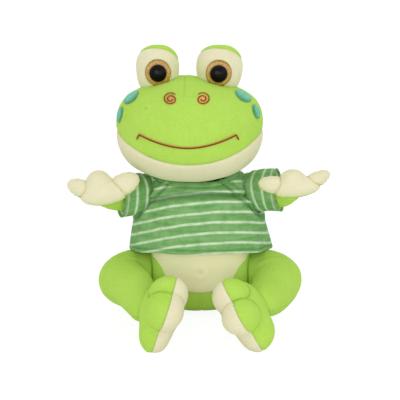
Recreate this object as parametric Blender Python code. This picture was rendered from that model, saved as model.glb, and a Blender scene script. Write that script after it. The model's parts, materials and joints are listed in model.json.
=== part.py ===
"""Plush frog hand puppet, seated and dressed in a shirt. Metres, +Z up, facing -Y."""
import math

import bmesh
import bpy
from mathutils import Matrix
from mathutils import Vector

# Clearances and fabric thicknesses
GAP = 0.0003
JOINT_GAP = 0.0014
CLOTH = 0.0016
LINING = 0.0012
PANEL = 0.003

# How far cutting blocks reach past the puppet, and the angle at which edges look sharp
REACH = 0.3
SHARP_ANGLE = math.radians(50.0)

# Torso: an egg that stands on its flat seat; torso, head and shirt are equally square in plan
SIDE_POWER = 2.3
TORSO_HALF_WIDTH = 0.071
TORSO_FRONT = 0.064
TORSO_BACK = 0.060
TORSO_WIDEST = 0.062
TORSO_RISE = 0.088
TORSO_DROP = 0.064
TORSO_TOP_POWER = 4.0
TORSO_BOTTOM_POWER = 2.8
BELLY_HALF_WIDTH = 0.058
BELLY_HALF_HEIGHT = 0.054
BELLY_HEIGHT = 0.090
TORSO_SEAM = 0.0015

# Head: a wide soft box with rounded sides, leaning a little to the puppet's right
HEAD_CENTRE = Vector((-0.0122, -0.012, 0.221))
HEAD_HALF_WIDTH = 0.0862
HEAD_FRONT = 0.072
HEAD_BACK = 0.066
HEAD_RISE = 0.055
HEAD_DROP = 0.059
HEAD_TOP_POWER = 3.1
HEAD_BOTTOM_POWER = 2.25
FOREHEAD = 0.0078
FOREHEAD_SPREAD = 0.030
FOREHEAD_SHIFT = -0.004
MUZZLE = 0.006
MUZZLE_SPREAD = 0.034
CHIN_SEAM_DROP = 0.0275
CHIN_SEAM_RISE = 0.031
CHIN_BLOCK = 0.12
CHIN_STEPS = 17
CROWN_SEAM = -0.0055

# Neck: a padded ring between torso and head, with room for fingers
NECK = Vector((-0.008, 0.0, 0.156))
NECK_RADIUS = 0.029
NECK_BORE = 0.0195
NECK_HALF_HEIGHT = 0.020
FINGER_RADIUS = 0.0195
FINGER_TOP = 0.252

# Eyes: padded mounds with plastic safety eyes
EYES_OUT = {1: 0.0338, -1: 0.0363}
MOUND_SHIFT = 0.0012
MOUND_WIDTHS = {1: 0.0272, -1: 0.0252}
MOUND_BACK = 0.012
MOUND_UP = 0.073
MOUND_DEPTH = 0.022
MOUND_RISE = 0.026
MOUND_POWER = 2.4
MOUND_DROP = 0.036
CAP_NORMAL = Vector((0.1, 0.7, 1.0)).normalized()
CAP_OFFSET = 0.0112
EYE_DROPS = {1: 0.0048, -1: 0.0041}
EYE_RADIUS = 0.015
EYE_SEAT = 0.0182
EYE_THICKNESS = 0.004
EYE_EDGE = 0.0015
EYE_BEVEL = 0.9
POST_RADIUS = 0.0025
POST_START = 0.004
PUPIL_RADIUS = 0.010
PUPIL_EDGE = 0.0008
PUPIL_DOME = 0.005
WASHER_RADIUS = 0.0083
WASHER_START = 0.007
WASHER_END = 0.009

# Embroidery and satin spots on the head, measured from the head's centre
MOUTH_HALF_WIDTH = 0.0534
MOUTH_LOW = -0.0048
MOUTH_RISE = 0.0122
MOUTH_POWER = 1.8
MOUTH_TICK = 0.006
MOUTH_TICK_OUT = 0.0033
MOUTH_THREAD = 0.0011
MOUTH_SHIFT = -0.0016
NOSTRIL_SHIFT = -0.0026
NOSTRIL_OUT = 0.0177
NOSTRIL_UP = 0.0463
NOSTRIL_HALF_WIDTH = 0.0083
NOSTRIL_HALF_HEIGHT = 0.0059
NOSTRIL_TURNS = 1.9
NOSTRIL_START = math.radians(130.0)
NOSTRIL_CLOSING = 0.82
NOSTRIL_THREAD = 0.0007
SPOT_THICKNESS = 0.0012
# longitude and latitude of each spot, then its half-sizes and the tilt of its length, in degrees
UPPER_SPOTS = {1: (66.9, 47.5), -1: (72.5, 43.0)}
LOWER_SPOTS = {1: (67.0, 21.0), -1: (70.5, 16.3)}
UPPER_SPOT_SIZE = (15.5, 11.0, 22.0)
LOWER_SPOT_SIZE = (7.0, 9.2, -10.0)

# Shirt: a loose tube that widens to the hem
SHIRT_HEM = 0.0868
SHIRT_SIDE_HEM = 0.0725
SHIRT_TOP = 0.159
SHIRT_PEAK = 0.161
SHIRT_NECK_WIDTH = 0.046
SHIRT_NECK_FRONT = 0.036
SHIRT_NECK_BACK = 0.038
SHIRT_FLARE_WIDTH = 0.0423
SHIRT_FLARE_FRONT = 0.0406
SHIRT_FLARE_BACK = 0.0306
SHIRT_FLARE_POWER = 0.45
SHIRT_FOLDS = 7
SHIRT_FOLD_DEPTH = 0.0016
SHIRT_FOLD_PHASE = 0.6
SHIRT_LEAN = 0.5
SHIRT_CROWDING = 1.8
NECKBAND_TOP = 0.163
NECKBAND_TUCK = 0.004
NECKBAND_THICKNESS = 0.0022
SLEEVE_RADIUS = 0.0245
SLEEVE_STATIONS = (-0.012, 0.006, 0.024, 0.042)
SLEEVE_ROOT = 0.059
ARMHOLE_FLARE = 1.25

# Arms and hands; left is the puppet's own left, at +X
SHOULDER = Vector((0.060, -0.006, 0.142))
ELBOWS = {1: Vector((0.084, -0.024, 0.1465)), -1: Vector((-0.084, -0.024, 0.144))}
ARM_RADIUS = 0.0165
SHOULDER_SEAT = 0.0185
ARM_DROP = math.radians(20.0)
ARM_DROP_LENGTH = 0.045
FOREARM_BOW = Vector((0.002, 0.0, -0.001))
WRISTS = {1: Vector((-0.006, -0.003, -0.017)), -1: Vector((-0.001, -0.003, -0.017))}
WRIST_RADIUS = 0.0125
HAND_CENTRES = {1: Vector((0.1095, -0.070, 0.1685)), -1: Vector((-0.1105, -0.070, 0.1625))}
HAND_LEAN = math.radians(25.0)
HAND_ROLL = math.radians(7.0)
HAND_HEIGHTS = {1: 0.87, -1: 1.1}
# each lobe of a hand is an ellipsoid: its centre outward and upward, the way its length points,
# its half-length and its half-width; then its half-thickness before and behind the seam
PALM = (0.0, -0.0025, 0.0, 0.028, 0.013)
OUTER_FINGER = (0.0232, 0.0042, math.radians(25.0), 0.0185, 0.0097)
INNER_FINGER = (-0.0232, 0.0035, math.radians(163.0), 0.0205, 0.0118)
MIDDLE_FINGER = (-0.004, 0.0065, math.radians(90.0), 0.015, 0.0155)
PALM_THICKNESS = (0.0145, 0.015)
FINGER_THICKNESS = (0.0105, 0.0115)
MIDDLE_THICKNESS = (0.0175, 0.014)

# Legs and feet
HIP = Vector((0.057, -0.014, 0.038))
HIP_DISC = 0.046
KNEE = Vector((0.0905, -0.046, 0.0462))
THIGH_BULGE = Vector((0.003, 0.005, 0.004))
THIGH_SHARE = 0.45
HIP_OVERLAP = 0.006
SHINS = {1: Vector((0.082, -0.081, 0.042)), -1: Vector((-0.077, -0.080, 0.0465))}
LEG_RADII = (0.034, 0.031, 0.0294, 0.0242, 0.0184)
ANKLE_SEAT = 0.020
ANKLE_STATIONS = (0.0, 0.02, 0.05)
ANKLE_FLARE = (1.0, 1.25, 1.6)
FOOT_CENTRES = {1: Vector((0.048, -0.130, 0.0385)), -1: Vector((-0.0405, -0.130, 0.0385))}
FOOT_TILTS = {1: math.radians(30.5), -1: math.radians(18.7)}
# lobes of a foot, as those of a hand: up the fan of toes, and forward
HEEL = (0.0, -0.002, 0.0, 0.036, 0.033)
UPPER_TOE = (0.0235, 0.0085, math.radians(25.0), 0.0245, 0.0175)
LOWER_TOE = (-0.0215, 0.0115, math.radians(148.0), 0.0245, 0.016)
MIDDLE_TOES = {
    1: (0.0055, 0.027, math.radians(90.0), 0.021, 0.0195),
    -1: (0.0110, 0.026, math.radians(90.0), 0.021, 0.0225),
}
SOLES = {1: 0.0235, -1: 0.0205}
FOOT_TOP = 0.0270
TOE_SOLE_SHARE = 0.95
TOE_TOP_SHARES = {1: 0.76, -1: 0.88}
LOWER_TOE_SHARES = {1: (0.78, 0.90), -1: (0.78, 0.74)}
LOBE_SEGMENTS = 44
LOBE_RINGS = 12
ANKLE_LIFT = 0.022
ANKLE_DROP = 0.007
ANKLE_BACK = 0.018

# Hand pocket: centres from the back opening up to the neck, with half-sizes
POCKET_PATH = (
    Vector((0.0, 0.085, 0.044)),
    Vector((0.0, 0.045, 0.045)),
    Vector((0.0, 0.012, 0.060)),
    Vector((0.0, -0.003, 0.088)),
    Vector((-0.004, -0.002, 0.118)),
    Vector((-0.008, 0.0, 0.150)),
)
POCKET_HALF_WIDTHS = (0.042, 0.042, 0.042, 0.040, 0.030, 0.0195)
POCKET_HALF_DEPTHS = (0.023, 0.023, 0.025, 0.026, 0.024, 0.0195)
OPENING_HEIGHT = 0.0445
BINDING_RADIUS = 0.0018
BINDING_OUT = 0.0031

SIDES = {"left": 1, "right": -1}


def remove_all():
    for item in list(bpy.data.objects):
        bpy.data.objects.remove(item, do_unlink=True)


def signed_power(value, power):
    return math.copysign(abs(value) ** power, value)


def bell(offset, width, power=2.0):
    return math.exp(-abs(offset / width) ** power)


def mirrored(place, side):
    return Vector((place.x * side, place.y, place.z))


# Materials, one to each piece

GREEN_PLUSH = ((0.40, 0.70, 0.085), 0.92)
CREAM_PLUSH = ((0.77, 0.71, 0.48), 0.92)
SHIRT_VELOUR = ((0.12, 0.39, 0.10), 0.85)
TEAL_SATIN = ((0.08, 0.44, 0.25), 0.45)
RUST_THREAD = ((0.32, 0.07, 0.012), 0.7)
AMBER_PLASTIC = ((0.48, 0.29, 0.045), 0.25)
BLACK_PLASTIC = ((0.012, 0.010, 0.011), 0.12)
WHITE_PLASTIC = ((0.75, 0.75, 0.72), 0.5)
COTTON_LINING = ((0.70, 0.68, 0.58), 0.9)


def give_material(piece, finish):
    colour, roughness = finish
    material = bpy.data.materials.new(piece.name)
    material.use_nodes = True
    shader = material.node_tree.nodes["Principled BSDF"]
    shader.inputs["Base Color"].default_value = (*colour, 1.0)
    shader.inputs["Roughness"].default_value = roughness
    shader.inputs["Metallic"].default_value = 0.0
    piece.data.materials.append(material)


# Making objects from meshes

def add_object(name, shape, finish, joint=None):
    mesh = bpy.data.meshes.new(name)
    bmesh.ops.recalc_face_normals(shape, faces=shape.faces)
    if shape.calc_volume(signed=True) < 0:
        bmesh.ops.reverse_faces(shape, faces=shape.faces)
    shape.to_mesh(mesh)
    shape.free()
    mesh.shade_smooth()
    mesh.set_sharp_from_angle(angle=SHARP_ANGLE)
    piece = bpy.data.objects.new(name, mesh)
    bpy.context.scene.collection.objects.link(piece)
    if finish:
        give_material(piece, finish)
    else:
        piece.hide_render = True
        piece.display_type = "WIRE"
    if joint:
        mesh.transform(Matrix.Translation(-joint.location))
        piece.parent = joint
    return piece


def add_cutter(name, shape):
    return add_object(name, shape, None)


def combine(piece, other, operation="DIFFERENCE", crossing=False):
    # crossing is for a piece whose own surface folds through itself, as at a tight bend
    modifier = piece.modifiers.new(other.name, "BOOLEAN")
    modifier.operation = operation
    modifier.solver = "EXACT"
    modifier.use_self = crossing
    modifier.object = other


def add_joint(name, place):
    empty = bpy.data.objects.new(name, None)
    empty.location = place
    bpy.context.scene.collection.objects.link(empty)
    return empty


# Mesh forms

def rounded_form(place, segments, rings):
    # a ball whose points are moved onto the form by place()
    shape = bmesh.new()
    bmesh.ops.create_uvsphere(shape, u_segments=segments, v_segments=rings, radius=1.0)
    for point in shape.verts:
        point.co = place(point.co.copy())
    return shape


def lofted_form(rings, joined_ends=False):
    # closed rings of points, each joined to the next by quads, with the two ends filled or joined
    shape = bmesh.new()
    loops = [[shape.verts.new(place) for place in ring] for ring in rings]
    if joined_ends:
        loops.append(loops[0])
    else:
        shape.faces.new(loops[0])
        shape.faces.new(loops[-1])
    for lower, upper in zip(loops, loops[1:]):
        for i in range(len(lower)):
            shape.faces.new((lower[i - 1], lower[i], upper[i], upper[i - 1]))
    return shape


def turned_form(profile, segments, closed=False):
    # a profile of (radius, height) turned about Z
    shape = bmesh.new()
    points = [shape.verts.new((radius, 0.0, height)) for radius, height in profile]
    edges = [shape.edges.new(pair) for pair in zip(points, points[1:])]
    if closed:
        edges.append(shape.edges.new((points[-1], points[0])))
    bmesh.ops.spin(
        shape, geom=points + edges, axis=(0.0, 0.0, 1.0), cent=(0.0, 0.0, 0.0),
        angle=math.tau, steps=segments, use_merge=True,
    )
    bmesh.ops.remove_doubles(shape, verts=shape.verts, dist=1e-6)
    return shape


def ball_form(centre, radius, segments=18, rings=10):
    return rounded_form(lambda direction: centre + direction * radius, segments, rings)


def block_form(low, high):
    shape = bmesh.new()
    bmesh.ops.create_cube(shape, size=1.0)
    size = high - low
    for point in shape.verts:
        point.co = low + size / 2.0 + Vector(a * b for a, b in zip(point.co, size))
    return shape


def beyond_seam(name, seam, side):
    # everything past a half's own side of an upright seam plane, so that the half is left
    edge = seam + side * GAP / 2
    low = Vector((-REACH, -REACH, -REACH))
    high = Vector((REACH, REACH, REACH))
    if side > 0:
        high.x = edge
    else:
        low.x = edge
    return add_cutter(name, block_form(low, high))


def thread_form(name, places, radius, cyclic=False):
    # a round thread along the places, turned into a mesh
    curve = bpy.data.curves.new(name, "CURVE")
    curve.dimensions = "3D"
    curve.bevel_depth = radius
    curve.bevel_resolution = 1
    curve.use_fill_caps = True
    spline = curve.splines.new("POLY")
    spline.points.add(len(places) - 1)
    for point, place in zip(spline.points, places):
        point.co = (*place, 1.0)
    spline.use_cyclic_u = cyclic
    holder = bpy.data.objects.new(name, curve)
    mesh = holder.to_mesh()
    shape = bmesh.new()
    shape.from_mesh(mesh)
    holder.to_mesh_clear()
    bpy.data.objects.remove(holder)
    bmesh.ops.remove_doubles(shape, verts=shape.verts, dist=1e-7)
    return shape


def smooth_path(places, steps):
    # points of a Catmull-Rom curve through the places, with steps to each span
    ends = [places[0] * 2 - places[1], *places, places[-1] * 2 - places[-2]]
    path = []
    for a, b, c, d in zip(ends, ends[1:], ends[2:], ends[3:]):
        for i in range(steps):
            t = i / steps
            path.append(
                b + (c - a) * (t / 2) + (a - b * 2.5 + c * 2 - d / 2) * t**2
                + (b * 1.5 - a / 2 - c * 1.5 + d / 2) * t**3
            )
    path.append(places[-1])
    return path


def mixed(values, position):
    # the value at a position from 0 to 1 along a list of evenly spaced values
    scaled = position * (len(values) - 1)
    index = min(int(scaled), len(values) - 2)
    part = scaled - index
    return values[index] * (1 - part) + values[index + 1] * part


def path_rings(path, widths, depths, segments, reference):
    # ellipses square to the path; widths lie along the reference direction
    rings = []
    last = len(path) - 1
    for i, centre in enumerate(path):
        along = (path[min(i + 1, last)] - path[max(i - 1, 0)]).normalized()
        across = (reference - along * reference.dot(along)).normalized()
        over = along.cross(across)
        ring = []
        for k in range(segments):
            turn = math.tau * k / segments
            ring.append(centre + across * widths[i] * math.cos(turn) + over * depths[i] * math.sin(turn))
        rings.append(ring)
    return rings


def limb_form(places, radii, segments, steps, round_start=True, round_end=True):
    # a stuffed tube along a smooth path, with rounded ends
    path = smooth_path(places, steps)
    count = len(path)
    sizes = [mixed(radii, i / (count - 1)) for i in range(count)]
    ends = [math.radians(angle) for angle in (20.0, 45.0, 68.0)]
    if round_start:
        back = (path[0] - path[1]).normalized()
        caps = [(path[0] + back * sizes[0] * math.sin(a), sizes[0] * math.cos(a)) for a in ends]
        path = [place for place, _ in reversed(caps)] + path
        sizes = [size for _, size in reversed(caps)] + sizes
    if round_end:
        ahead = (path[-1] - path[-2]).normalized()
        size = sizes[-1]
        caps = [(path[-1] + ahead * size * math.sin(a), size * math.cos(a)) for a in ends]
        path = path + [place for place, _ in caps]
        sizes = sizes + [small for _, small in caps]
    return lofted_form(path_rings(path, sizes, sizes, segments, Vector((0.0, 0.0, 1.0))))


# Torso, belly panel and hand pocket

def torso_place(direction, grow=0.0):
    # a superellipsoid, blunter at the shoulders than at the seat
    upper = direction.z > 0
    power = 2.0 / (TORSO_TOP_POWER if upper else TORSO_BOTTOM_POWER)
    height = (TORSO_RISE if upper else TORSO_DROP) + grow
    level = math.hypot(direction.x, direction.y)
    spread = level**power
    turn = math.atan2(direction.x, -direction.y)
    depth = (TORSO_FRONT if direction.y < 0 else TORSO_BACK) + grow
    flat = 2.0 / SIDE_POWER
    return Vector((
        (TORSO_HALF_WIDTH + grow) * spread * signed_power(math.sin(turn), flat),
        -depth * spread * signed_power(math.cos(turn), flat),
        TORSO_WIDEST + height * signed_power(direction.z, power),
    ))


def torso_form(grow=0.0):
    return rounded_form(lambda direction: torso_place(direction, grow), 28, 14)


def torso_back(x, z):
    # how far back the torso's surface is at a point of its rear face
    level = abs((z - TORSO_WIDEST) / TORSO_DROP) ** TORSO_BOTTOM_POWER
    spread = (1.0 - level) ** (1.0 / TORSO_BOTTOM_POWER)
    aside = abs(x) / (TORSO_HALF_WIDTH * spread)
    return TORSO_BACK * spread * (1.0 - aside**SIDE_POWER) ** (1.0 / SIDE_POWER)


def belly_block(name, grow):
    # an oval bar through the torso's front
    shape = turned_form([(0.0, 0.0), (1.0, 0.0), (1.0, REACH), (0.0, REACH)], 28)
    half_sizes = (BELLY_HALF_WIDTH + grow, BELLY_HALF_HEIGHT + grow)
    for point in shape.verts:
        x, y, z = point.co
        point.co = (x * half_sizes[0], -z, BELLY_HEIGHT + y * half_sizes[1])
    return add_cutter(name, shape)


def pocket_rings(inset, steps, end):
    path = smooth_path(list(POCKET_PATH), steps)
    count = len(path)
    widths = [mixed(POCKET_HALF_WIDTHS, i / (count - 1)) - inset for i in range(count)]
    depths = [mixed(POCKET_HALF_DEPTHS, i / (count - 1)) - inset for i in range(count)]
    return path_rings(path, widths, depths, 14, Vector((1.0, 0.0, 0.0)))[:end]


def hip_disc(name, side, inner, outer, radius):
    # a short bar along X on a hip's axis
    shape = turned_form([(0.0, inner), (radius, inner), (radius, outer), (0.0, outer)], 32)
    for point in shape.verts:
        x, y, z = point.co
        point.co = (z * side, HIP.y + x, HIP.z + y)
    return add_cutter(name, shape)


def arm_direction(side):
    return (ELBOWS[side] - mirrored(SHOULDER, side)).normalized()


def arm_seat(word, side):
    # the hollow in the torso's side that the arm's root drops into
    shoulder = mirrored(SHOULDER, side)
    lowered = (arm_direction(side) - Vector((0.0, 0.0, math.tan(ARM_DROP)))).normalized()
    radius = SHOULDER_SEAT + JOINT_GAP
    shape = limb_form([shoulder, shoulder + lowered * ARM_DROP_LENGTH], [radius, radius], 16, 1)
    return add_cutter(word + "_arm_seat", shape)


def make_torso(floor):
    # two halves sewn along an upright seam, and a panel let into their front
    core = add_cutter("torso_core", torso_form(-PANEL - GAP))
    recess = belly_block("belly_recess", GAP)
    combine(recess, core)
    pocket = add_cutter("pocket_space", lofted_form(pocket_rings(0.0, 2, None)))
    neck_seat = add_cutter("neck_seat", ball_form(NECK, NECK_RADIUS + JOINT_GAP))
    for word, side in SIDES.items():
        torso = add_object(word + "_torso", torso_form(), GREEN_PLUSH)
        combine(torso, recess)
        combine(torso, pocket)
        combine(torso, neck_seat)
        combine(torso, hip_disc(word + "_hip_flat", side, HIP.x, REACH, HIP_DISC))
        combine(torso, arm_seat(word, side))
        combine(torso, floor)
        combine(torso, beyond_seam(word + "_torso_edge", TORSO_SEAM, side))
    panel = add_object("belly_panel", torso_form(), CREAM_PLUSH)
    combine(panel, belly_block("belly_outline", 0.0), "INTERSECT")
    combine(panel, add_cutter("belly_back", torso_form(-PANEL)))


def make_pocket():
    outer = pocket_rings(GAP, 2, -1)
    inner = pocket_rings(GAP + LINING, 2, -1)
    lining = add_object("hand_pocket_lining", lofted_form(outer + inner[::-1], True), COTTON_LINING)
    outside = block_form(Vector((-REACH, 0.0, -REACH)), Vector((REACH, REACH, REACH)))
    outside = add_cutter("behind_torso", outside)
    combine(outside, add_cutter("torso_solid", torso_form()))
    combine(lining, outside)
    places = []
    count = 24
    for i in range(count):
        turn = math.tau * i / count
        x = (POCKET_HALF_WIDTHS[0] + BINDING_RADIUS) * math.cos(turn)
        z = OPENING_HEIGHT + (POCKET_HALF_DEPTHS[0] + BINDING_RADIUS) * math.sin(turn)
        places.append(Vector((x, torso_back(x, z) + BINDING_OUT, z)))
    add_object("opening_binding", thread_form("binding", places, BINDING_RADIUS, True), COTTON_LINING)


# Head

def head_height(x, above):
    # half-height of the head, with a ridge along the middle of the forehead
    if above:
        return HEAD_RISE + FOREHEAD * bell(x - FOREHEAD_SHIFT, FOREHEAD_SPREAD)
    return HEAD_DROP


def head_power(above):
    return HEAD_TOP_POWER if above else HEAD_BOTTOM_POWER


def head_place(direction, grow=0.0):
    # a superellipsoid with a muzzle swelling across its lower front
    power = 2.0 / head_power(direction.z > 0)
    flat = 2.0 / SIDE_POWER
    spread = math.hypot(direction.x, direction.y) ** power
    turn = math.atan2(direction.x, -direction.y)
    aside = signed_power(math.sin(turn), flat)
    ahead = signed_power(math.cos(turn), flat)
    x = (HEAD_HALF_WIDTH + grow) * spread * aside
    z = (head_height(x, direction.z > 0) + grow) * signed_power(direction.z, power)
    depth = (HEAD_FRONT if ahead > 0 else HEAD_BACK) + grow
    y = -depth * spread * ahead
    if ahead > 0:
        y -= MUZZLE * bell(z, MUZZLE_SPREAD) * (1.0 - aside * aside)
    return HEAD_CENTRE + Vector((x, y, z))


def head_front(x, z):
    # the point of the head's front surface at x and z from its centre
    power = head_power(z > 0)
    spread = (1.0 - abs(z / head_height(x, z > 0)) ** power) ** (1.0 / power)
    aside = abs(x) / (HEAD_HALF_WIDTH * spread)
    y = -HEAD_FRONT * spread * (1.0 - aside**SIDE_POWER) ** (1.0 / SIDE_POWER)
    y -= MUZZLE * bell(z, MUZZLE_SPREAD) * (1.0 - aside * aside)
    return HEAD_CENTRE + Vector((x, y, z))


def head_lifted(x, z, lift):
    # the same point, lifted square to the surface
    step = 0.0005
    across = head_front(x + step, z) - head_front(x - step, z)
    up = head_front(x, z + step) - head_front(x, z - step)
    return head_front(x, z) + across.cross(up).normalized() * lift


def head_form(grow=0.0):
    return rounded_form(lambda direction: head_place(direction, grow), 30, 16)


def chin_block(name, raised):
    # everything below the curved seam between crown and chin
    reach = CHIN_BLOCK
    shape = bmesh.new()
    outline = [shape.verts.new((reach, -reach, -reach)), shape.verts.new((-reach, -reach, -reach))]
    for i in range(CHIN_STEPS):
        x = reach * (2 * i / (CHIN_STEPS - 1) - 1)
        z = CHIN_SEAM_RISE * (x / HEAD_HALF_WIDTH) ** 2 - CHIN_SEAM_DROP + raised
        outline.append(shape.verts.new((x, -reach, z)))
    face = shape.faces.new(outline)
    swept = bmesh.ops.extrude_face_region(shape, geom=[face])["geom"]
    moved = [item for item in swept if isinstance(item, bmesh.types.BMVert)]
    bmesh.ops.translate(shape, verts=moved, vec=(0.0, reach * 2, 0.0))
    bmesh.ops.translate(shape, verts=shape.verts, vec=HEAD_CENTRE)
    return add_cutter(name, shape)


def finger_profile(radius, top):
    # a round-ended hollow, as (radius, height) from the neck's middle upward
    profile = [(0.0, 0.0), (radius, 0.0)]
    for i in range(4):
        turn = math.radians(90.0) * i / 4
        profile.append((radius * math.cos(turn), top - radius + radius * math.sin(turn)))
    profile.append((0.0, top))
    return profile


def make_head(joint):
    # two crown halves sewn along the middle of the forehead, and a chin below the curved seam
    depth = FINGER_TOP - NECK.z
    hollow = turned_form(finger_profile(FINGER_RADIUS, depth), 16)
    bmesh.ops.translate(hollow, verts=hollow.verts, vec=NECK)
    hollow = add_cutter("finger_space", hollow)
    below = chin_block("below_crown", GAP)
    crowns = {}
    for word, side in SIDES.items():
        crown = add_object(word + "_crown", head_form(), GREEN_PLUSH, joint)
        crowns[word] = crown
        combine(crown, below)
        combine(crown, hollow)
        combine(crown, beyond_seam(word + "_crown_edge", HEAD_CENTRE.x + CROWN_SEAM, side))
    chin = add_object("head_chin", head_form(), CREAM_PLUSH, joint)
    combine(chin, chin_block("chin_outline", 0.0), "INTERSECT")
    combine(chin, hollow)
    combine(chin, add_cutter("head_neck_seat", ball_form(NECK, NECK_RADIUS + JOINT_GAP)))
    foot = NECK_RADIUS + 2 * JOINT_GAP
    outer = finger_profile(FINGER_RADIUS - GAP, depth - GAP)[1:]
    inner = finger_profile(FINGER_RADIUS - GAP - LINING, depth - GAP - LINING)[1:]
    outer[0] = (outer[0][0], foot)
    inner[0] = (inner[0][0], foot)
    pocket = turned_form(outer[::-1] + inner, 16)
    bmesh.ops.translate(pocket, verts=pocket.verts, vec=NECK)
    add_object("finger_pocket", pocket, COTTON_LINING, joint)
    return crowns


def make_neck(joint):
    reach = math.asin(NECK_HALF_HEIGHT / NECK_RADIUS)
    profile = [(NECK_BORE, -NECK_HALF_HEIGHT)]
    for i in range(7):
        turn = reach * (i / 3 - 1)
        profile.append((NECK_RADIUS * math.cos(turn), NECK_RADIUS * math.sin(turn)))
    profile.append((NECK_BORE, NECK_HALF_HEIGHT))
    shape = turned_form(profile, 18, True)
    bmesh.ops.translate(shape, verts=shape.verts, vec=NECK)
    add_object("neck_tube", shape, COTTON_LINING, joint)


# Eyes

def mound_half(centre, width, keep_cap):
    # an ellipsoid split by a sloping plane into a front mound and a cap over its top and back
    def place(direction):
        height = MOUND_RISE if direction.z > 0 else MOUND_DROP
        power = 2.0 / MOUND_POWER
        spread = math.hypot(direction.x, direction.y) ** power
        turn = math.atan2(direction.y, direction.x)
        x = width * spread * math.cos(turn)
        y = MOUND_DEPTH * spread * math.sin(turn)
        return centre + Vector((x, y, signed_power(direction.z, power) * height))

    shape = rounded_form(place, 18, 10)
    offset = CAP_OFFSET + (GAP / 2 if keep_cap else -GAP / 2)
    cut = bmesh.ops.bisect_plane(
        shape, geom=shape.verts[:] + shape.edges[:] + shape.faces[:], dist=1e-6,
        plane_co=centre + CAP_NORMAL * offset, plane_no=CAP_NORMAL,
        clear_inner=keep_cap, clear_outer=not keep_cap,
    )["geom_cut"]
    rim = [item for item in cut if isinstance(item, bmesh.types.BMEdge)]
    bmesh.ops.contextual_create(shape, geom=rim)
    return shape


def turned_to_front(profile, centre, segments=18, closed=False):
    # a turned piece whose heights run forward, toward -Y
    shape = turned_form(profile, segments, closed)
    for point in shape.verts:
        x, y, z = point.co
        point.co = centre + Vector((x, -z, y))
    return shape


def eye_seat_profile():
    hole = POST_RADIUS + GAP
    pocket = WASHER_RADIUS + GAP
    rim = EYE_RADIUS + GAP
    mouth = EYE_SEAT + EYE_THICKNESS * 3
    front = WASHER_END + GAP
    back = WASHER_START - GAP
    end = POST_START - GAP
    return [
        (0.0, mouth), (rim, mouth), (rim, EYE_SEAT), (hole, EYE_SEAT), (hole, front),
        (pocket, front), (pocket, back), (hole, back), (hole, end), (0.0, end),
    ]


def eye_pocket_profile():
    # the slot that the lower rim of an eye presses into the forehead
    rim = EYE_RADIUS + GAP
    front = EYE_SEAT + EYE_THICKNESS + 2 * GAP
    return [(0.0, EYE_SEAT), (rim, EYE_SEAT), (rim, front), (0.0, front)]


def eye_profile():
    back = EYE_SEAT + GAP
    front = back + EYE_THICKNESS
    return [
        (0.0, POST_START), (POST_RADIUS, POST_START), (POST_RADIUS, back), (EYE_RADIUS, back),
        (EYE_RADIUS, back + EYE_EDGE), (EYE_RADIUS * EYE_BEVEL, back + EYE_EDGE * 2),
        (PUPIL_RADIUS, front), (0.0, front),
    ]


def pupil_profile():
    base = EYE_SEAT + EYE_THICKNESS + 2 * GAP
    edge = base + PUPIL_EDGE
    profile = [(0.0, base), (PUPIL_RADIUS, base)]
    for i in range(4):
        turn = math.radians(90.0) * i / 4
        profile.append((PUPIL_RADIUS * math.cos(turn), edge + PUPIL_DOME * math.sin(turn)))
    profile.append((0.0, edge + PUPIL_DOME))
    return profile


def make_eye(word, side, joint, crown, head_solid):
    eye_axis = HEAD_CENTRE + Vector((EYES_OUT[side] * side, MOUND_BACK, MOUND_UP - EYE_DROPS[side]))
    centre = eye_axis + Vector((MOUND_SHIFT * side, 0.0, EYE_DROPS[side]))
    width = MOUND_WIDTHS[side]
    mound = add_object(word + "_eye_mound", mound_half(centre, width, False), CREAM_PLUSH, joint)
    cap = add_object(word + "_eye_cap", mound_half(centre, width, True), GREEN_PLUSH, joint)
    seat = add_cutter(word + "_eye_seat", turned_to_front(eye_seat_profile(), eye_axis))
    combine(mound, head_solid)
    combine(mound, seat)
    combine(cap, head_solid)
    combine(cap, seat)
    pocket = turned_to_front(eye_pocket_profile(), eye_axis)
    combine(crown, add_cutter(word + "_eye_pocket", pocket))
    add_object(word + "_eye", turned_to_front(eye_profile(), eye_axis), AMBER_PLASTIC, joint)
    add_object(word + "_pupil", turned_to_front(pupil_profile(), eye_axis), BLACK_PLASTIC, joint)
    ring = [
        (POST_RADIUS + GAP, WASHER_START), (WASHER_RADIUS, WASHER_START),
        (WASHER_RADIUS, WASHER_END), (POST_RADIUS + GAP, WASHER_END),
    ]
    washer = turned_to_front(ring, eye_axis, 12, True)
    add_object(word + "_eye_washer", washer, WHITE_PLASTIC, joint)


# Embroidery and spots

def make_mouth(joint):
    lift = MOUTH_THREAD + GAP
    count = 23
    places = []
    for i in range(count):
        x = MOUTH_HALF_WIDTH * (2 * i / (count - 1) - 1)
        z = MOUTH_LOW + MOUTH_RISE * abs(x / MOUTH_HALF_WIDTH) ** MOUTH_POWER
        places.append(head_lifted(x + MOUTH_SHIFT, z, lift))
    corner = MOUTH_LOW + MOUTH_RISE
    ticks = []
    for side in (-1, 1):
        x = (MOUTH_HALF_WIDTH + MOUTH_TICK_OUT) * side
        ticks.append(head_lifted(x + MOUTH_SHIFT, corner - MOUTH_TICK, lift))
    places = [ticks[0], *places, ticks[1]]
    add_object("mouth_stitch", thread_form("mouth", places, MOUTH_THREAD), RUST_THREAD, joint)


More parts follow.
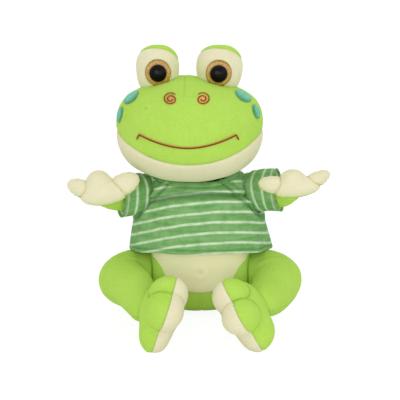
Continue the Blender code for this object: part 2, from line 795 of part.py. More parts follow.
def make_nostril(word, side, joint):
    count = 27
    places = []
    for i in range(count):
        part = i / (count - 1)
        turn = NOSTRIL_START - math.tau * NOSTRIL_TURNS * part
        closing = 1.0 - NOSTRIL_CLOSING * part
        x = NOSTRIL_SHIFT + (NOSTRIL_OUT + NOSTRIL_HALF_WIDTH * closing * math.cos(turn)) * side
        z = NOSTRIL_UP + NOSTRIL_HALF_HEIGHT * closing * math.sin(turn)
        places.append(head_lifted(x, z, NOSTRIL_THREAD + GAP))
    name = word + "_nostril_stitch"
    add_object(name, thread_form(name, places, NOSTRIL_THREAD), RUST_THREAD, joint)


def make_spot(name, side, spot, size, joint):
    # a thin lens on the head's surface, centred at a longitude and a latitude
    tilt = math.radians(size[2])

    def surface(turn, rise):
        level = math.cos(math.radians(rise))
        x = math.sin(math.radians(turn)) * level * side
        y = -math.cos(math.radians(turn)) * level
        return head_place(Vector((x, y, math.sin(math.radians(rise)))))

    def place(direction):
        length = size[0] * direction.x
        width = size[1] * direction.y
        turn = spot[0] + length * math.cos(tilt) - width * math.sin(tilt)
        rise = spot[1] + length * math.sin(tilt) + width * math.cos(tilt)
        step = 0.5
        across = surface(turn + step, rise) - surface(turn - step, rise)
        up = surface(turn, rise + step) - surface(turn, rise - step)
        normal = across.cross(up).normalized() * side
        lift = GAP * 2 + SPOT_THICKNESS / 2 + direction.z * SPOT_THICKNESS / 2
        return surface(turn, rise) + normal * lift

    add_object(name, rounded_form(place, 14, 6), TEAL_SATIN, joint)


# Shirt

def shirt_hem(turn):
    # the hem hangs lower at the sides and back than in front
    forward = max(math.cos(turn), 0.0) ** (2.0 / SIDE_POWER)
    return SHIRT_SIDE_HEM + (SHIRT_HEM - SHIRT_SIDE_HEM) * forward


def shirt_ring(part, inset, segments=32):
    # one ring of the shirt, part 0 at the hem and 1 at the neck
    flat = 2.0 / SIDE_POWER
    ring = []
    for i in range(segments):
        turn = math.tau * i / segments
        hem = shirt_hem(turn)
        z = hem + (SHIRT_TOP - hem) * part
        drop = ((SHIRT_PEAK - z) / (SHIRT_PEAK - SHIRT_SIDE_HEM)) ** SHIRT_FLARE_POWER
        width = SHIRT_NECK_WIDTH + SHIRT_FLARE_WIDTH * drop
        depth = SHIRT_NECK_FRONT + SHIRT_FLARE_FRONT * drop
        if math.cos(turn) < 0:
            depth = SHIRT_NECK_BACK + SHIRT_FLARE_BACK * drop
        fold = SHIRT_FOLD_DEPTH * drop**3 * math.cos(SHIRT_FOLDS * turn + SHIRT_FOLD_PHASE)
        x = (width - inset + fold) * signed_power(math.sin(turn), flat)
        y = -(depth - inset + fold) * signed_power(math.cos(turn), flat)
        lean = HEAD_CENTRE.x * SHIRT_LEAN * (1.0 - drop)
        ring.append(Vector((x + lean, y, z)))
    return ring


def shirt_parts(count):
    # parts that crowd toward the shoulders, where the shirt turns in
    return [1.0 - (1.0 - i / (count - 1)) ** SHIRT_CROWDING for i in range(count)]


def make_shirt(joints):
    parts = shirt_parts(6)
    outer = [shirt_ring(part, 0.0) for part in parts]
    inner = [shirt_ring(part, CLOTH) for part in reversed(parts)]
    body = add_object("shirt_body", lofted_form(outer + inner, True), SHIRT_VELOUR)
    solid = add_cutter("shirt_solid", lofted_form([shirt_ring(part, -GAP) for part in parts]))
    band = []
    for z, inset in ((SHIRT_TOP + GAP, 0.0), (NECKBAND_TOP, NECKBAND_TUCK)):
        for thickness in (0.0, NECKBAND_THICKNESS):
            band.append([Vector((p.x, p.y, z)) for p in shirt_ring(1.0, inset + thickness)])
    band = [band[0], band[2], band[3], band[1]]
    add_object("shirt_neckband", lofted_form(band, True), SHIRT_VELOUR)
    chest = block_form(Vector((-SLEEVE_ROOT, -REACH, -REACH)), Vector((SLEEVE_ROOT, REACH, REACH)))
    chest = add_cutter("chest", chest)
    for word, side in SIDES.items():
        shoulder = mirrored(SHOULDER, side)
        along = arm_direction(side)
        path = [shoulder + along * station for station in SLEEVE_STATIONS]
        sizes = [SLEEVE_RADIUS] * len(path)
        slim = [SLEEVE_RADIUS - CLOTH] * len(path)
        up = Vector((0.0, 0.0, 1.0))
        rings = path_rings(path, sizes, sizes, 18, up)
        rings += path_rings(path, slim, slim, 18, up)[::-1]
        sleeve = add_object(word + "_sleeve", lofted_form(rings, True), SHIRT_VELOUR, joints[word + "_arm"])
        combine(sleeve, solid)
        combine(sleeve, chest)
        narrow = SLEEVE_RADIUS - 2 * CLOTH
        hole = limb_form([shoulder, path[-1]], [narrow, narrow * ARMHOLE_FLARE], 16, 1)
        combine(body, add_cutter(word + "_armhole", hole))


# Hands and feet

def lobed_place(direction, lobes):
    # where a ray from the centre leaves the farthest of several ellipsoids, split by a seam plane at z = 0
    reach = 0.0
    for (x, y, turn, length, width), thickness in lobes:
        cosine = math.cos(turn)
        sine = math.sin(turn)
        depth = thickness[0] if direction.z > 0 else thickness[1]
        across = (direction.y * cosine - direction.x * sine) / width
        ray = Vector(((direction.x * cosine + direction.y * sine) / length, across, direction.z / depth))
        centre = Vector(((x * cosine + y * sine) / length, (y * cosine - x * sine) / width, 0.0))
        toward = ray.dot(centre)
        square = toward**2 - ray.length_squared * (centre.length_squared - 1.0)
        if square > 0:
            reach = max(reach, (toward + math.sqrt(square)) / ray.length_squared)
    return direction * reach


def lobed_half(place, frame, front):
    # one half of a hand or foot, cut along its seam plane and set into its frame
    shape = rounded_form(place, LOBE_SEGMENTS, LOBE_RINGS)
    offset = GAP / 2 if front else -GAP / 2
    cut = bmesh.ops.bisect_plane(
        shape, geom=shape.verts[:] + shape.edges[:] + shape.faces[:], dist=1e-6,
        plane_co=(0.0, 0.0, offset), plane_no=(0.0, 0.0, 1.0),
        clear_inner=front, clear_outer=not front,
    )["geom_cut"]
    rim = [item for item in cut if isinstance(item, bmesh.types.BMEdge)]
    bmesh.ops.contextual_create(shape, geom=rim)
    bmesh.ops.transform(shape, matrix=frame, verts=shape.verts)
    return shape


def frame_of(across, along, out, centre):
    rows = Matrix((across, along, out)).transposed().to_4x4()
    return Matrix.Translation(centre) @ rows


def hand_frame(side):
    out = Vector((0.0, -math.cos(HAND_LEAN), math.sin(HAND_LEAN)))
    up = Vector((0.0, math.sin(HAND_LEAN), math.cos(HAND_LEAN)))
    turn = Matrix.Rotation(HAND_ROLL, 3, out)
    return frame_of(turn @ Vector((1.0, 0.0, 0.0)), turn @ up, out, HAND_CENTRES[side])


def hand_point(side):
    height = HAND_HEIGHTS[side]
    lobes = [(PALM, PALM_THICKNESS), (MIDDLE_FINGER, MIDDLE_THICKNESS)]
    for x, y, turn, length, width in (OUTER_FINGER, INNER_FINGER):
        lobes.append(((x * side, y, turn if side > 0 else math.pi - turn, length, width), FINGER_THICKNESS))

    def place(direction):
        point = lobed_place(direction, lobes)
        point.y *= height
        return point

    return place


def make_arm(word, side, joint):
    frame = hand_frame(side)
    shoulder = mirrored(SHOULDER, side)
    wrist = frame @ WRISTS[side]
    elbow = ELBOWS[side]
    middle = elbow.lerp(wrist, 0.5) + mirrored(FOREARM_BOW, side)
    radii = [ARM_RADIUS, ARM_RADIUS, ARM_RADIUS, WRIST_RADIUS]
    tube = limb_form([shoulder, elbow, middle, wrist], radii, 12, 2)
    arm = add_object(word + "_arm", tube, GREEN_PLUSH, joint)
    back = lobed_half(hand_point(side), frame, False)
    combine(arm, add_cutter(word + "_hand_back", back), "UNION")
    palm = lobed_half(hand_point(side), frame, True)
    add_object(word + "_palm", palm, CREAM_PLUSH, joint)


def foot_frame(side):
    tilt = FOOT_TILTS[side]
    across = Vector((-math.sin(tilt) * side, 0.0, math.cos(tilt)))
    along = Vector((0.0, -1.0, 0.0))
    out = Vector((-math.cos(tilt) * side, 0.0, -math.sin(tilt)))
    return frame_of(across, along, out, FOOT_CENTRES[side])


def foot_point(side):
    thickness = (SOLES[side], FOOT_TOP)
    slim = (SOLES[side] * TOE_SOLE_SHARE, FOOT_TOP * TOE_TOP_SHARES[side])
    sole_share, top_share = LOWER_TOE_SHARES[side]
    lower = (SOLES[side] * sole_share, FOOT_TOP * top_share)
    lobes = [(HEEL, thickness), (UPPER_TOE, slim), (MIDDLE_TOES[side], slim), (LOWER_TOE, lower)]
    return lambda direction: lobed_place(direction, lobes)


def ankle_place(side):
    return foot_frame(side) @ Vector((-ANKLE_DROP, -ANKLE_BACK, -ANKLE_LIFT))


def make_leg(word, side, hip, ankle):
    root = mirrored(HIP - Vector((HIP_OVERLAP, 0.0, 0.0)), side)
    thigh = mirrored(HIP.lerp(KNEE, THIGH_SHARE) + THIGH_BULGE, side)
    places = [root, thigh, mirrored(KNEE, side), SHINS[side], ankle.location]
    tube = limb_form(places, LEG_RADII, 16, 2, round_start=False)
    leg = add_object(word + "_leg", tube, GREEN_PLUSH, hip)
    hip_block = hip_disc(word + "_hip_block", side, 0.0, HIP.x + GAP, HIP_DISC + GAP)
    combine(leg, hip_block, crossing=True)


def make_foot(word, side, ankle, floor):
    frame = foot_frame(side)
    top = lobed_half(foot_point(side), frame, False)
    top = add_object(word + "_foot_top", top, GREEN_PLUSH, ankle)
    sole = lobed_half(foot_point(side), frame, True)
    sole = add_object(word + "_foot_sole", sole, CREAM_PLUSH, ankle)
    place = ankle.location
    toward_knee = (SHINS[side] - place).normalized()
    places = [place + toward_knee * station for station in ANKLE_STATIONS]
    sizes = [(ANKLE_SEAT + JOINT_GAP) * flare for flare in ANKLE_FLARE]
    socket = limb_form(places, sizes, 14, 1)
    combine(top, add_cutter(word + "_ankle_seat", socket))
    combine(top, floor)
    combine(sole, floor)


def build():
    remove_all()
    joints = {"neck": add_joint("neck_joint", NECK), "head": add_joint("head_joint", NECK)}
    for word, side in SIDES.items():
        joints[word + "_arm"] = add_joint(word + "_arm_joint", mirrored(SHOULDER, side))
        joints[word + "_hip"] = add_joint(word + "_hip_joint", mirrored(HIP, side))
        joints[word + "_ankle"] = add_joint(word + "_ankle_joint", ankle_place(side))
    floor = block_form(Vector((-REACH, -REACH, -REACH)), Vector((REACH, REACH, 0.0)))
    floor = add_cutter("floor", floor)
    make_torso(floor)
    make_pocket()
    make_neck(joints["neck"])
    crowns = make_head(joints["head"])
    head_solid = add_cutter("head_solid", head_form(GAP))
    make_mouth(joints["head"])
    make_shirt(joints)
    for word, side in SIDES.items():
        make_eye(word, side, joints["head"], crowns[word], head_solid)
        make_nostril(word, side, joints["head"])
        make_spot(word + "_upper_spot", side, UPPER_SPOTS[side], UPPER_SPOT_SIZE, joints["head"])
        make_spot(word + "_lower_spot", side, LOWER_SPOTS[side], LOWER_SPOT_SIZE, joints["head"])
        make_arm(word, side, joints[word + "_arm"])
        make_leg(word, side, joints[word + "_hip"], joints[word + "_ankle"])
        make_foot(word, side, joints[word + "_ankle"], floor)


build()
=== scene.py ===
import json
import bpy
import numpy as np
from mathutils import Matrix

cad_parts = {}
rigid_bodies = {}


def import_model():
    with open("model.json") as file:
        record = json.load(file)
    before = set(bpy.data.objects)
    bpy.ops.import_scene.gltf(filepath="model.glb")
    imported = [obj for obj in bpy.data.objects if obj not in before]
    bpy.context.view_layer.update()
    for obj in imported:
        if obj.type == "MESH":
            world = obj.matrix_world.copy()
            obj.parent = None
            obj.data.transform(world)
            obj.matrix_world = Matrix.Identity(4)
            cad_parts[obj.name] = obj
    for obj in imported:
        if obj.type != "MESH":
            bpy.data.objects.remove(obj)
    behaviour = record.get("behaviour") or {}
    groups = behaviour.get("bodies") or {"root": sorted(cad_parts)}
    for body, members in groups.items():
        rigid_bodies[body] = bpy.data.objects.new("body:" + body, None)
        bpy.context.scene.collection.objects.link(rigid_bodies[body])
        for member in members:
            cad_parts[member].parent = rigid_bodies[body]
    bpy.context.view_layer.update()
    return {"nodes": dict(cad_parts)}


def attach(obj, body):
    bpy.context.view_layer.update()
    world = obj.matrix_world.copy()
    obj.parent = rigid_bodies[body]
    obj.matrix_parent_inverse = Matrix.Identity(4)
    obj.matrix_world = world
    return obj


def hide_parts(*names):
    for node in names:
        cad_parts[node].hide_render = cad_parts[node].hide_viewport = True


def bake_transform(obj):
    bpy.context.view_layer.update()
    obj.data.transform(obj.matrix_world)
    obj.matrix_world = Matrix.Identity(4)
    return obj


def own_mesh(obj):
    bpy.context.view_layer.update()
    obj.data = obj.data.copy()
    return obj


for leftover in list(bpy.data.objects):  # the start-up scene
    bpy.data.objects.remove(leftover)
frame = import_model()

tau = 2 * np.pi
sides = {"left": 1, "right": -1}  # the frog's own left is at +X
sharpBend = np.radians(55)  # an edge bent more than this stays crisp where a piece is cut


# small sums that work on whole arrays
def signedPower(value, power):  # |value| raised to power, with value's sign
    return np.sign(value) * np.abs(value) ** power


def bell(offset, width):  # exp(-(offset / width)^2): 1 at the middle, nearly 0 two widths away
    return np.exp(-(offset / width) ** 2)


def ramp(value, low, high):  # smooth step from 0 at low to 1 at high
    step = np.clip((value - low) / (high - low), 0, 1)
    return step * step * (3 - 2 * step)


def unit(vectors):  # each vector over its own length
    return vectors / np.linalg.norm(vectors, axis=-1, keepdims=True)


def mirrored(place, side):  # a place given for the left, with x turned over for the right
    return np.array(place) * (side, 1, 1)


def ringTurns(cols):  # angles evenly spaced round a full turn
    return np.arange(cols) * tau / cols


def alongRows(grid):  # length of each column from its first row
    steps = np.linalg.norm(np.diff(grid, axis=0), axis=-1)
    return np.vstack([np.zeros(grid.shape[1]), np.cumsum(steps, 0)])


def rumple(grid, size, seed):  # mean of five sine waves that cross in space; the seed fixes their ways
    spin = np.random.default_rng(seed)
    waves = 5
    total = 0
    for wave in range(waves):
        way = unit(spin.normal(size=3)) * spin.uniform(0.7, 1.5) * tau / size
        total = total + np.sin(grid @ way + spin.uniform(0, tau))
    return total / waves


# meshes
def gridPiece(name, grid, closed=False, marks=None):
    # rows by columns of points joined by quads; columns run round and meet, rows meet too if closed,
    # and otherwise each end row is filled by a fan on its mean point
    rows, cols = grid.shape[:2]
    index = np.arange(rows * cols).reshape(rows, cols)
    low = index if closed else index[:-1]
    high = np.roll(index, -1, 0) if closed else index[1:]
    quads = np.stack([low, np.roll(low, -1, 1), np.roll(high, -1, 1), high], -1).reshape(-1, 4)
    across, along = np.meshgrid(np.arange(cols) / cols, np.arange(len(low)) / len(low))
    corners = ((0, 0), (1, 0), (1, 1), (0, 1))
    uv = [np.stack([across + a / cols, along + b / len(low)], -1) for a, b in corners]
    uv = np.stack(uv, 2).reshape(-1, 2)
    points, faces = grid.reshape(-1, 3), quads.tolist()
    marks = {key: np.broadcast_to(value, (rows, cols)).ravel() for key, value in (marks or {}).items()}
    if not closed:
        points = np.vstack([points, grid[0].mean(0), grid[-1].mean(0)])
        first = np.stack([np.roll(index[0], -1), index[0], np.full(cols, rows * cols)], -1)
        last = np.stack([index[-1], np.roll(index[-1], -1), np.full(cols, rows * cols + 1)], -1)
        faces += first.tolist() + last.tolist()
        spot = np.arange(cols) / cols
        fan = np.stack([np.stack([spot, spot, spot], -1), np.zeros((cols, 3))], -1).reshape(-1, 2)
        uv = np.vstack([uv, fan, fan + (0, 1)])
        for key, value in marks.items():
            marks[key] = np.append(value, (value[:cols].mean(), value[-cols:].mean()))
    corner = points[quads]
    volume = sum(np.sum(corner[:, 0] * np.cross(corner[:, i], corner[:, i + 1])) for i in (1, 2))
    mesh = bpy.data.meshes.new(name)
    mesh.from_pydata(points, [], faces)
    mesh.uv_layers.new(name="cloth").data.foreach_set("uv", uv.ravel())
    for key, value in marks.items():
        mesh.attributes.new(key, "FLOAT", "POINT").data.foreach_set("value", value)
    if volume < 0:  # the faces look inward
        mesh.flip_normals()
    mesh.shade_smooth()
    piece = bpy.data.objects.new(name, mesh)
    bpy.context.scene.collection.objects.link(piece)
    return piece


def cutAway(piece, *cutters):  # takes the cutters' space out of a piece, and removes the cutters
    for cutter in cutters:
        cut = piece.modifiers.new("cut", "BOOLEAN")
        cut.operation, cut.solver, cut.object = "DIFFERENCE", "EXACT", cutter
    bpy.context.view_layer.update()
    mesh = bpy.data.meshes.new_from_object(piece.evaluated_get(bpy.context.evaluated_depsgraph_get()))
    piece.modifiers.clear()
    piece.data = mesh
    mesh.name = piece.name
    mesh.set_sharp_from_angle(angle=sharpBend)
    for cutter in cutters:
        bpy.data.objects.remove(cutter)
    return piece


def smoothPath(places, steps):
    # Catmull-Rom curve: each span is a cubic set by its two ends and their neighbours
    places = np.asarray(places, float).reshape(len(places), -1)
    ends = np.vstack([2 * places[0] - places[1], places, 2 * places[-1] - places[-2]])
    a, b, c, d = (ends[i:i + len(places) - 1, None] for i in range(4))
    t = (np.arange(steps) / steps)[None, :, None]
    square, cube = a - 2.5 * b + 2 * c - d / 2, 1.5 * b - a / 2 - 1.5 * c + d / 2
    curve = b + (c - a) * t / 2 + square * t**2 + cube * t**3
    return np.vstack([curve.reshape(-1, places.shape[1]), places[-1]])


def pathRings(path, widths, depths, cols, reference):
    # ellipses square to the path: width along the reference direction, depth along the one square to both
    ahead = unit(np.gradient(path, axis=0))
    reference = np.broadcast_to(reference, path.shape)
    across = unit(reference - ahead * np.sum(reference * ahead, -1, keepdims=True))
    over = np.cross(ahead, across)
    turn = ringTurns(cols)
    widths, depths = np.broadcast_to(widths, len(path)), np.broadcast_to(depths, len(path))
    return (path[:, None] + across[:, None] * (widths[:, None] * np.cos(turn))[..., None]
            + over[:, None] * (depths[:, None] * np.sin(turn))[..., None])


def stuffedTube(places, radii, cols, steps, roundStart=True):
    # a tube along a smooth path; its end, and its start if asked, close as half balls
    path, sizes = smoothPath(places, steps), smoothPath(np.array(radii), steps)[:, 0]
    tip = np.radians(np.linspace(8, 84, 9))
    if roundStart:
        back = unit(path[0] - path[1])
        path = np.vstack([(path[0] + back * sizes[0] * np.sin(tip)[:, None])[::-1], path])
        sizes = np.concatenate([(sizes[0] * np.cos(tip))[::-1], sizes])
    onward = unit(path[-1] - path[-2])
    path = np.vstack([path, path[-1] + onward * sizes[-1] * np.sin(tip)[:, None]])
    sizes = np.concatenate([sizes, sizes[-1] * np.cos(tip)])
    return pathRings(path, sizes, sizes, cols, (0, 0, 1)), path


def turnedGrid(profile, centre, cols, axis="up"):
    # a profile of (radius, height) turned about Z, or about -Y for what faces front
    radius, height = np.array(profile, float).T
    turn = ringTurns(cols)
    a, b = radius[:, None] * np.cos(turn), radius[:, None] * np.sin(turn)
    c = np.broadcast_to(height[:, None], a.shape)
    return np.asarray(centre) + (np.stack([a, b, c], -1) if axis == "up" else np.stack([a, -c, b], -1))


def lifted(surface, turn, rise, lift):
    # the surface's points moved along its normal, found from small differences
    step = 2e-3
    across = surface(turn + step, rise) - surface(turn - step, rise)
    up = surface(turn, rise + step) - surface(turn, rise - step)
    return surface(turn, rise) + unit(np.cross(across, up)) * np.asarray(lift)[..., None]


def crossing(surface, side, turn, low, high):
    # halves the range of rise until side() of the surface is nought
    low, high = np.full_like(turn, low), np.full_like(turn, high)
    for step in range(40):
        middle = (low + high) / 2
        above = side(surface(turn, middle)) > 0
        high, low = np.where(above, middle, high), np.where(above, low, middle)
    return (low + high) / 2


def evenTable(form, ratio):
    # rise angles evenly spaced along a superellipse's outline: shares from -1 to 1, and their angles
    angle = np.linspace(0, np.pi / 2, 1500)
    shares = []
    for key in ("bottomPower", "topPower"):
        out, up = np.cos(angle) ** (2 / form[key]), ratio * np.sin(angle) ** (2 / form[key])
        arc = np.concatenate([[0], np.cumsum(np.hypot(np.diff(out), np.diff(up)))])
        shares.append(arc / arc[-1])
    return np.concatenate([-shares[0][::-1], shares[1][1:]]), np.concatenate([-angle[::-1], angle[1:]])


def superForm(turn, rise, form):
    # superellipsoid: a ring shrinks as cos(rise)^(2/power) and climbs as sin(rise)^(2/power),
    # and goes round as sin and cos of turn, each to 2/sidePower
    power = 2 / np.where(rise > 0, form["topPower"], form["bottomPower"])
    flat = 2 / form["sidePower"]
    spread = np.clip(np.cos(rise), 0, None) ** power
    aside, ahead = signedPower(np.sin(turn), flat), signedPower(np.cos(turn), flat)
    return spread, aside, ahead, signedPower(np.sin(rise), power)


# finishes
class Wire:  # a socket that takes part in sums
    def __init__(self, paint, socket):
        self.paint, self.socket = paint, socket

    def sum(self, operation, other=0.0):
        return self.paint.node("ShaderNodeMath", {"operation": operation}, {0: self, 1: other})

    def __add__(self, other):
        return self.sum("ADD", other)

    def __sub__(self, other):
        return self.sum("SUBTRACT", other)

    def __rsub__(self, other):
        return self.paint.node("ShaderNodeMath", {"operation": "SUBTRACT"}, {0: other, 1: self})

    def __mul__(self, other):
        return self.sum("MULTIPLY", other)

    __radd__, __rmul__ = __add__, __mul__


class Paint:  # one material: its shader and the nodes that feed it
    def __init__(self, name, constants):
        self.material = bpy.data.materials.new(name)
        self.material.use_nodes = True
        self.tree = self.material.node_tree
        self.shader = self.tree.nodes["Principled BSDF"]
        for key, value in constants.items():
            self.shader.inputs[key].default_value = value

    def node(self, kind, settings, sockets, output=0):
        # settings first, then values or links of its sockets
        made = self.tree.nodes.new(kind)
        for key, value in settings.items():
            setattr(made, key, value)
        for key, value in sockets.items():
            self.plug(value, made.inputs[key])
        return Wire(self, made.outputs[output])

    def plug(self, value, socket):
        if isinstance(value, Wire):
            self.tree.links.new(value.socket, socket)
        else:
            socket.default_value = value

    def feed(self, key, value):
        self.plug(value, self.shader.inputs[key])

    def place(self):  # where a point lies in the piece's own space
        return self.node("ShaderNodeTexCoord", {}, {}, "Object")

    def stretched(self, place, scale, rotation=(0, 0, 0)):
        return self.node("ShaderNodeMapping", {}, {"Vector": place, "Rotation": rotation, "Scale": scale})

    def mix(self, share, first, second):  # from the first colour to the second
        return self.node("ShaderNodeMix", {"data_type": "RGBA"}, {0: share, 6: first, 7: second}, 2)

    def noise(self, place, scale, detail=2.0):
        sockets = {"Vector": place, "Scale": scale, "Detail": detail, "Roughness": 0.6}
        return self.node("ShaderNodeTexNoise", {}, sockets)

    def wave(self, place, direction, scale, distortion):
        sockets = {"Vector": place, "Scale": scale, "Distortion": distortion}
        return self.node("ShaderNodeTexWave", {"bands_direction": direction}, sockets)

    def spanned(self, value, low, high, first=0.0, second=1.0):
        # low..high stretched to first..second, softly
        sockets = {0: value, 1: low, 2: high, 3: first, 4: second}
        return self.node("ShaderNodeMapRange", {"interpolation_type": "SMOOTHSTEP"}, sockets)

    def mark(self, name):
        return self.node("ShaderNodeAttribute", {"attribute_name": name}, {}, "Fac")

    def bump(self, height, strength, distance):
        sockets = {"Height": height, "Strength": strength, "Distance": distance}
        self.feed("Normal", self.node("ShaderNodeBump", {}, sockets))


def rgb(red, green, blue):  # a colour read on a 0 to 255 scale, as the shader's linear one
    scaled = np.array((red, green, blue)) / 255
    linear = np.where(scaled <= 0.04045, scaled / 12.92, ((scaled + 0.055) / 1.055) ** 2.4)
    return (*linear.tolist(), 1.0)


# seam tones darken real seam lines, and also serve as painted shade in creases, folds, the navel and a
# dimple
limeTones = dict(light=rgb(185, 223, 100), deep=rgb(170, 212, 77), seam=rgb(124, 166, 50))
creamTones = dict(light=rgb(235, 231, 198), deep=rgb(225, 219, 179), seam=rgb(204, 182, 130))
# pale is painted light: the belly panel's cream brightened to make up for the shade it sits in
plush = dict(pile=1100, tuft=300, nap=34, span=(0.32, 0.68), peach=rgb(232, 172, 100), peachShare=0.85,
             pale=rgb(249, 245, 198), bellyLightShare=0.8, seamShare=0.75, bump=0.45, depth=0.0011)


def plushFinish(name, tones):
    # short pile: fine fibres, small tufts and slow patches where the pile lies over
    paint = Paint(name, {"Roughness": 0.95, "Specular IOR Level": 0.15, "Sheen Weight": 0.55,
                         "Sheen Roughness": 0.55, "Sheen Tint": tones["light"]})
    place = paint.place()
    pile, tuft = paint.noise(place, plush["pile"], 3), paint.noise(place, plush["tuft"])
    nap = paint.noise(place, plush["nap"])
    tone = paint.spanned(pile * 0.5 + tuft * 0.25 + nap * 0.25, *plush["span"])
    colour = paint.mix(tone, tones["deep"], tones["light"])
    colour = paint.mix(paint.mark("peach") * plush["peachShare"], colour, plush["peach"])
    # painted light: the pale mark brightens the whole belly panel
    colour = paint.mix(paint.mark("pale") * plush["bellyLightShare"], colour, plush["pale"])
    # the seam mark darkens seam lines and also paints shade into creases, folds, the navel and a dimple
    paint.feed("Base Color", paint.mix(paint.mark("seam") * plush["seamShare"], colour, tones["seam"]))
    paint.bump(pile * 0.7 + tuft * 0.3, plush["bump"], plush["depth"])
    return paint.material


# seam darkens the hem stitch and also serves as painted shade in the shirt's creases and furls
velour = dict(green=rgb(98, 158, 84), deep=rgb(72, 130, 62), sage=rgb(140, 184, 122),
              stripe=rgb(212, 231, 198), seam=rgb(44, 98, 44), pile=1300, nap=110, streak=(22, 22, 260),
              wander=420, grain=240, stripeEdge=(0.09, 0.20), fringe=(0.10, 0.34), bump=0.4, depth=0.0008)


def velourFinish(name):  # knitted velour: thin pale stripes on a green whose nap turns from bright to sage
    paint = Paint(name, {"Roughness": 0.85, "Specular IOR Level": 0.2, "Sheen Weight": 0.3,
                         "Sheen Roughness": 0.4, "Sheen Tint": velour["sage"]})
    place = paint.place()
    pile, nap = paint.noise(place, velour["pile"], 3), paint.noise(place, velour["nap"])
    streak = paint.noise(paint.stretched(place, velour["streak"]), 1.0)
    tone = paint.spanned(nap * 0.45 + streak * 0.55, 0.30, 0.72)
    colour = paint.mix(tone, velour["green"], velour["sage"])
    colour = paint.mix(paint.spanned(pile, 0.52, 0.78) * 0.35, colour, velour["deep"])
    away = ((paint.mark("stripe") + 0.5).sum("FRACT") - 0.5).sum("ABSOLUTE")  # from the middle of a stripe
    wander = paint.noise(place, velour["wander"]) * 0.06
    stripe = paint.spanned(away + wander, *velour["stripeEdge"], 1.0, 0.0)
    colour = paint.mix(paint.spanned(away, *velour["fringe"], 0.4, 0.0), colour, velour["sage"])
    colour = paint.mix(stripe * paint.spanned(nap, 0.3, 0.6, 0.6, 0.95), colour, velour["stripe"])
    # the seam mark darkens the hem stitch and also paints shade into the chest crease, the armpit creases
    # and the sleeve's furls
    paint.feed("Base Color", paint.mix(paint.mark("seam") * 0.6, colour, velour["seam"]))
    paint.bump(pile * 0.6 + paint.noise(place, velour["grain"]) * 0.4, velour["bump"], velour["depth"])
    return paint.material


# inner is painted shade on the edge of a spot toward the face
satin = dict(lean=(0.3, 0.5, 0.2), strands=(300, 1500, 300), dark=rgb(56, 164, 122),
             light=rgb(104, 204, 164), inner=rgb(30, 128, 96), sheen=rgb(150, 226, 190), bump=0.5,
             depth=0.0006)


def satinFinish(name):  # satin stitch: close parallel threads with a soft shine
    paint = Paint(name, {"Specular IOR Level": 0.5, "Sheen Weight": 0.3, "Sheen Tint": satin["sheen"]})
    strand = paint.noise(paint.stretched(paint.place(), satin["strands"], satin["lean"]), 1.0, 3)
    colour = paint.mix(paint.spanned(strand, 0.35, 0.65), satin["dark"], satin["light"])
    # inner mark: painted shade on the spot's edge toward the face
    paint.feed("Base Color", paint.mix(paint.mark("inner") * 0.75, colour, satin["inner"]))
    paint.feed("Roughness", paint.spanned(strand, 0.3, 0.7, 0.5, 0.32))
    paint.bump(strand, satin["bump"], satin["depth"])
    return paint.material


thread = dict(dark=rgb(106, 54, 12), light=rgb(140, 76, 22), edge=rgb(222, 148, 72), stitches=90, slant=2,
              bump=0.6, depth=0.0004)


def threadFinish(name):  # embroidery: slanted stitches laid side by side round the line
    paint = Paint(name, {"Roughness": 0.6, "Specular IOR Level": 0.35})
    split = paint.tree.nodes.new("ShaderNodeSeparateXYZ")
    paint.plug(paint.node("ShaderNodeUVMap", {"uv_map": "cloth"}, {}), split.inputs[0])
    around, along = Wire(paint, split.outputs[0]), Wire(paint, split.outputs[1])
    stitch = ((along * thread["stitches"] + around * thread["slant"]) * tau).sum("SINE")
    front = (around * tau).sum("COSINE")  # 1 on the ridge of the thread
    colour = paint.mix(paint.spanned(stitch, -1, 1), thread["dark"], thread["light"])
    paint.feed("Base Color", paint.mix(paint.spanned(front, 0.86, 0.5), colour, thread["edge"]))
    paint.bump(stitch, thread["bump"], thread["depth"])
    return paint.material


cotton = dict(dark=rgb(196, 188, 160), light=rgb(224, 217, 194), threads=260, wander=1.5, bump=0.4,
              depth=0.0005)


def cottonFinish(name):  # plain weave: two crossed sets of fine threads
    paint = Paint(name, {"Roughness": 0.9, "Specular IOR Level": 0.2})
    place = paint.place()
    one, two = (paint.wave(place, way, cotton["threads"], cotton["wander"]) for way in ("DIAGONAL", "Z"))
    weave = one * 0.5 + two * 0.5
    paint.feed("Base Color", paint.mix(weave, cotton["dark"], cotton["light"]))
    paint.bump(weave, cotton["bump"], cotton["depth"])
    return paint.material


# rim is painted shade at the iris's bevel and round the pupil
amber = dict(dark=rgb(178, 136, 58), light=rgb(206, 168, 86), rim=rgb(104, 68, 26), rimShadeShare=0.45,
             clouds=420)


def amberFinish(name):
    # moulded iris with faint clouds in the plastic, and painted shade darkening its bevelled rim and a ring
    # round the pupil
    paint = Paint(name, {"Roughness": 0.22, "Specular IOR Level": 0.3, "Coat Weight": 0.2,
                         "Coat Roughness": 0.1})
    cloud = paint.noise(paint.place(), amber["clouds"])
    colour = paint.mix(paint.spanned(cloud, 0.35, 0.65), amber["dark"], amber["light"])
    paint.feed("Base Color", paint.mix(paint.mark("rim") * amber["rimShadeShare"], colour, amber["rim"]))
    return paint.material


def plasticFinish(name, dark, light, roughness):  # moulded plastic with faint handling marks
    paint = Paint(name, {"Specular IOR Level": 0.12})
    marks = paint.noise(paint.place(), 160, 4)
    paint.feed("Base Color", paint.mix(marks, dark, light))
    paint.feed("Roughness", paint.spanned(marks, 0.3, 0.7, roughness, roughness + 0.06))
    return paint.material


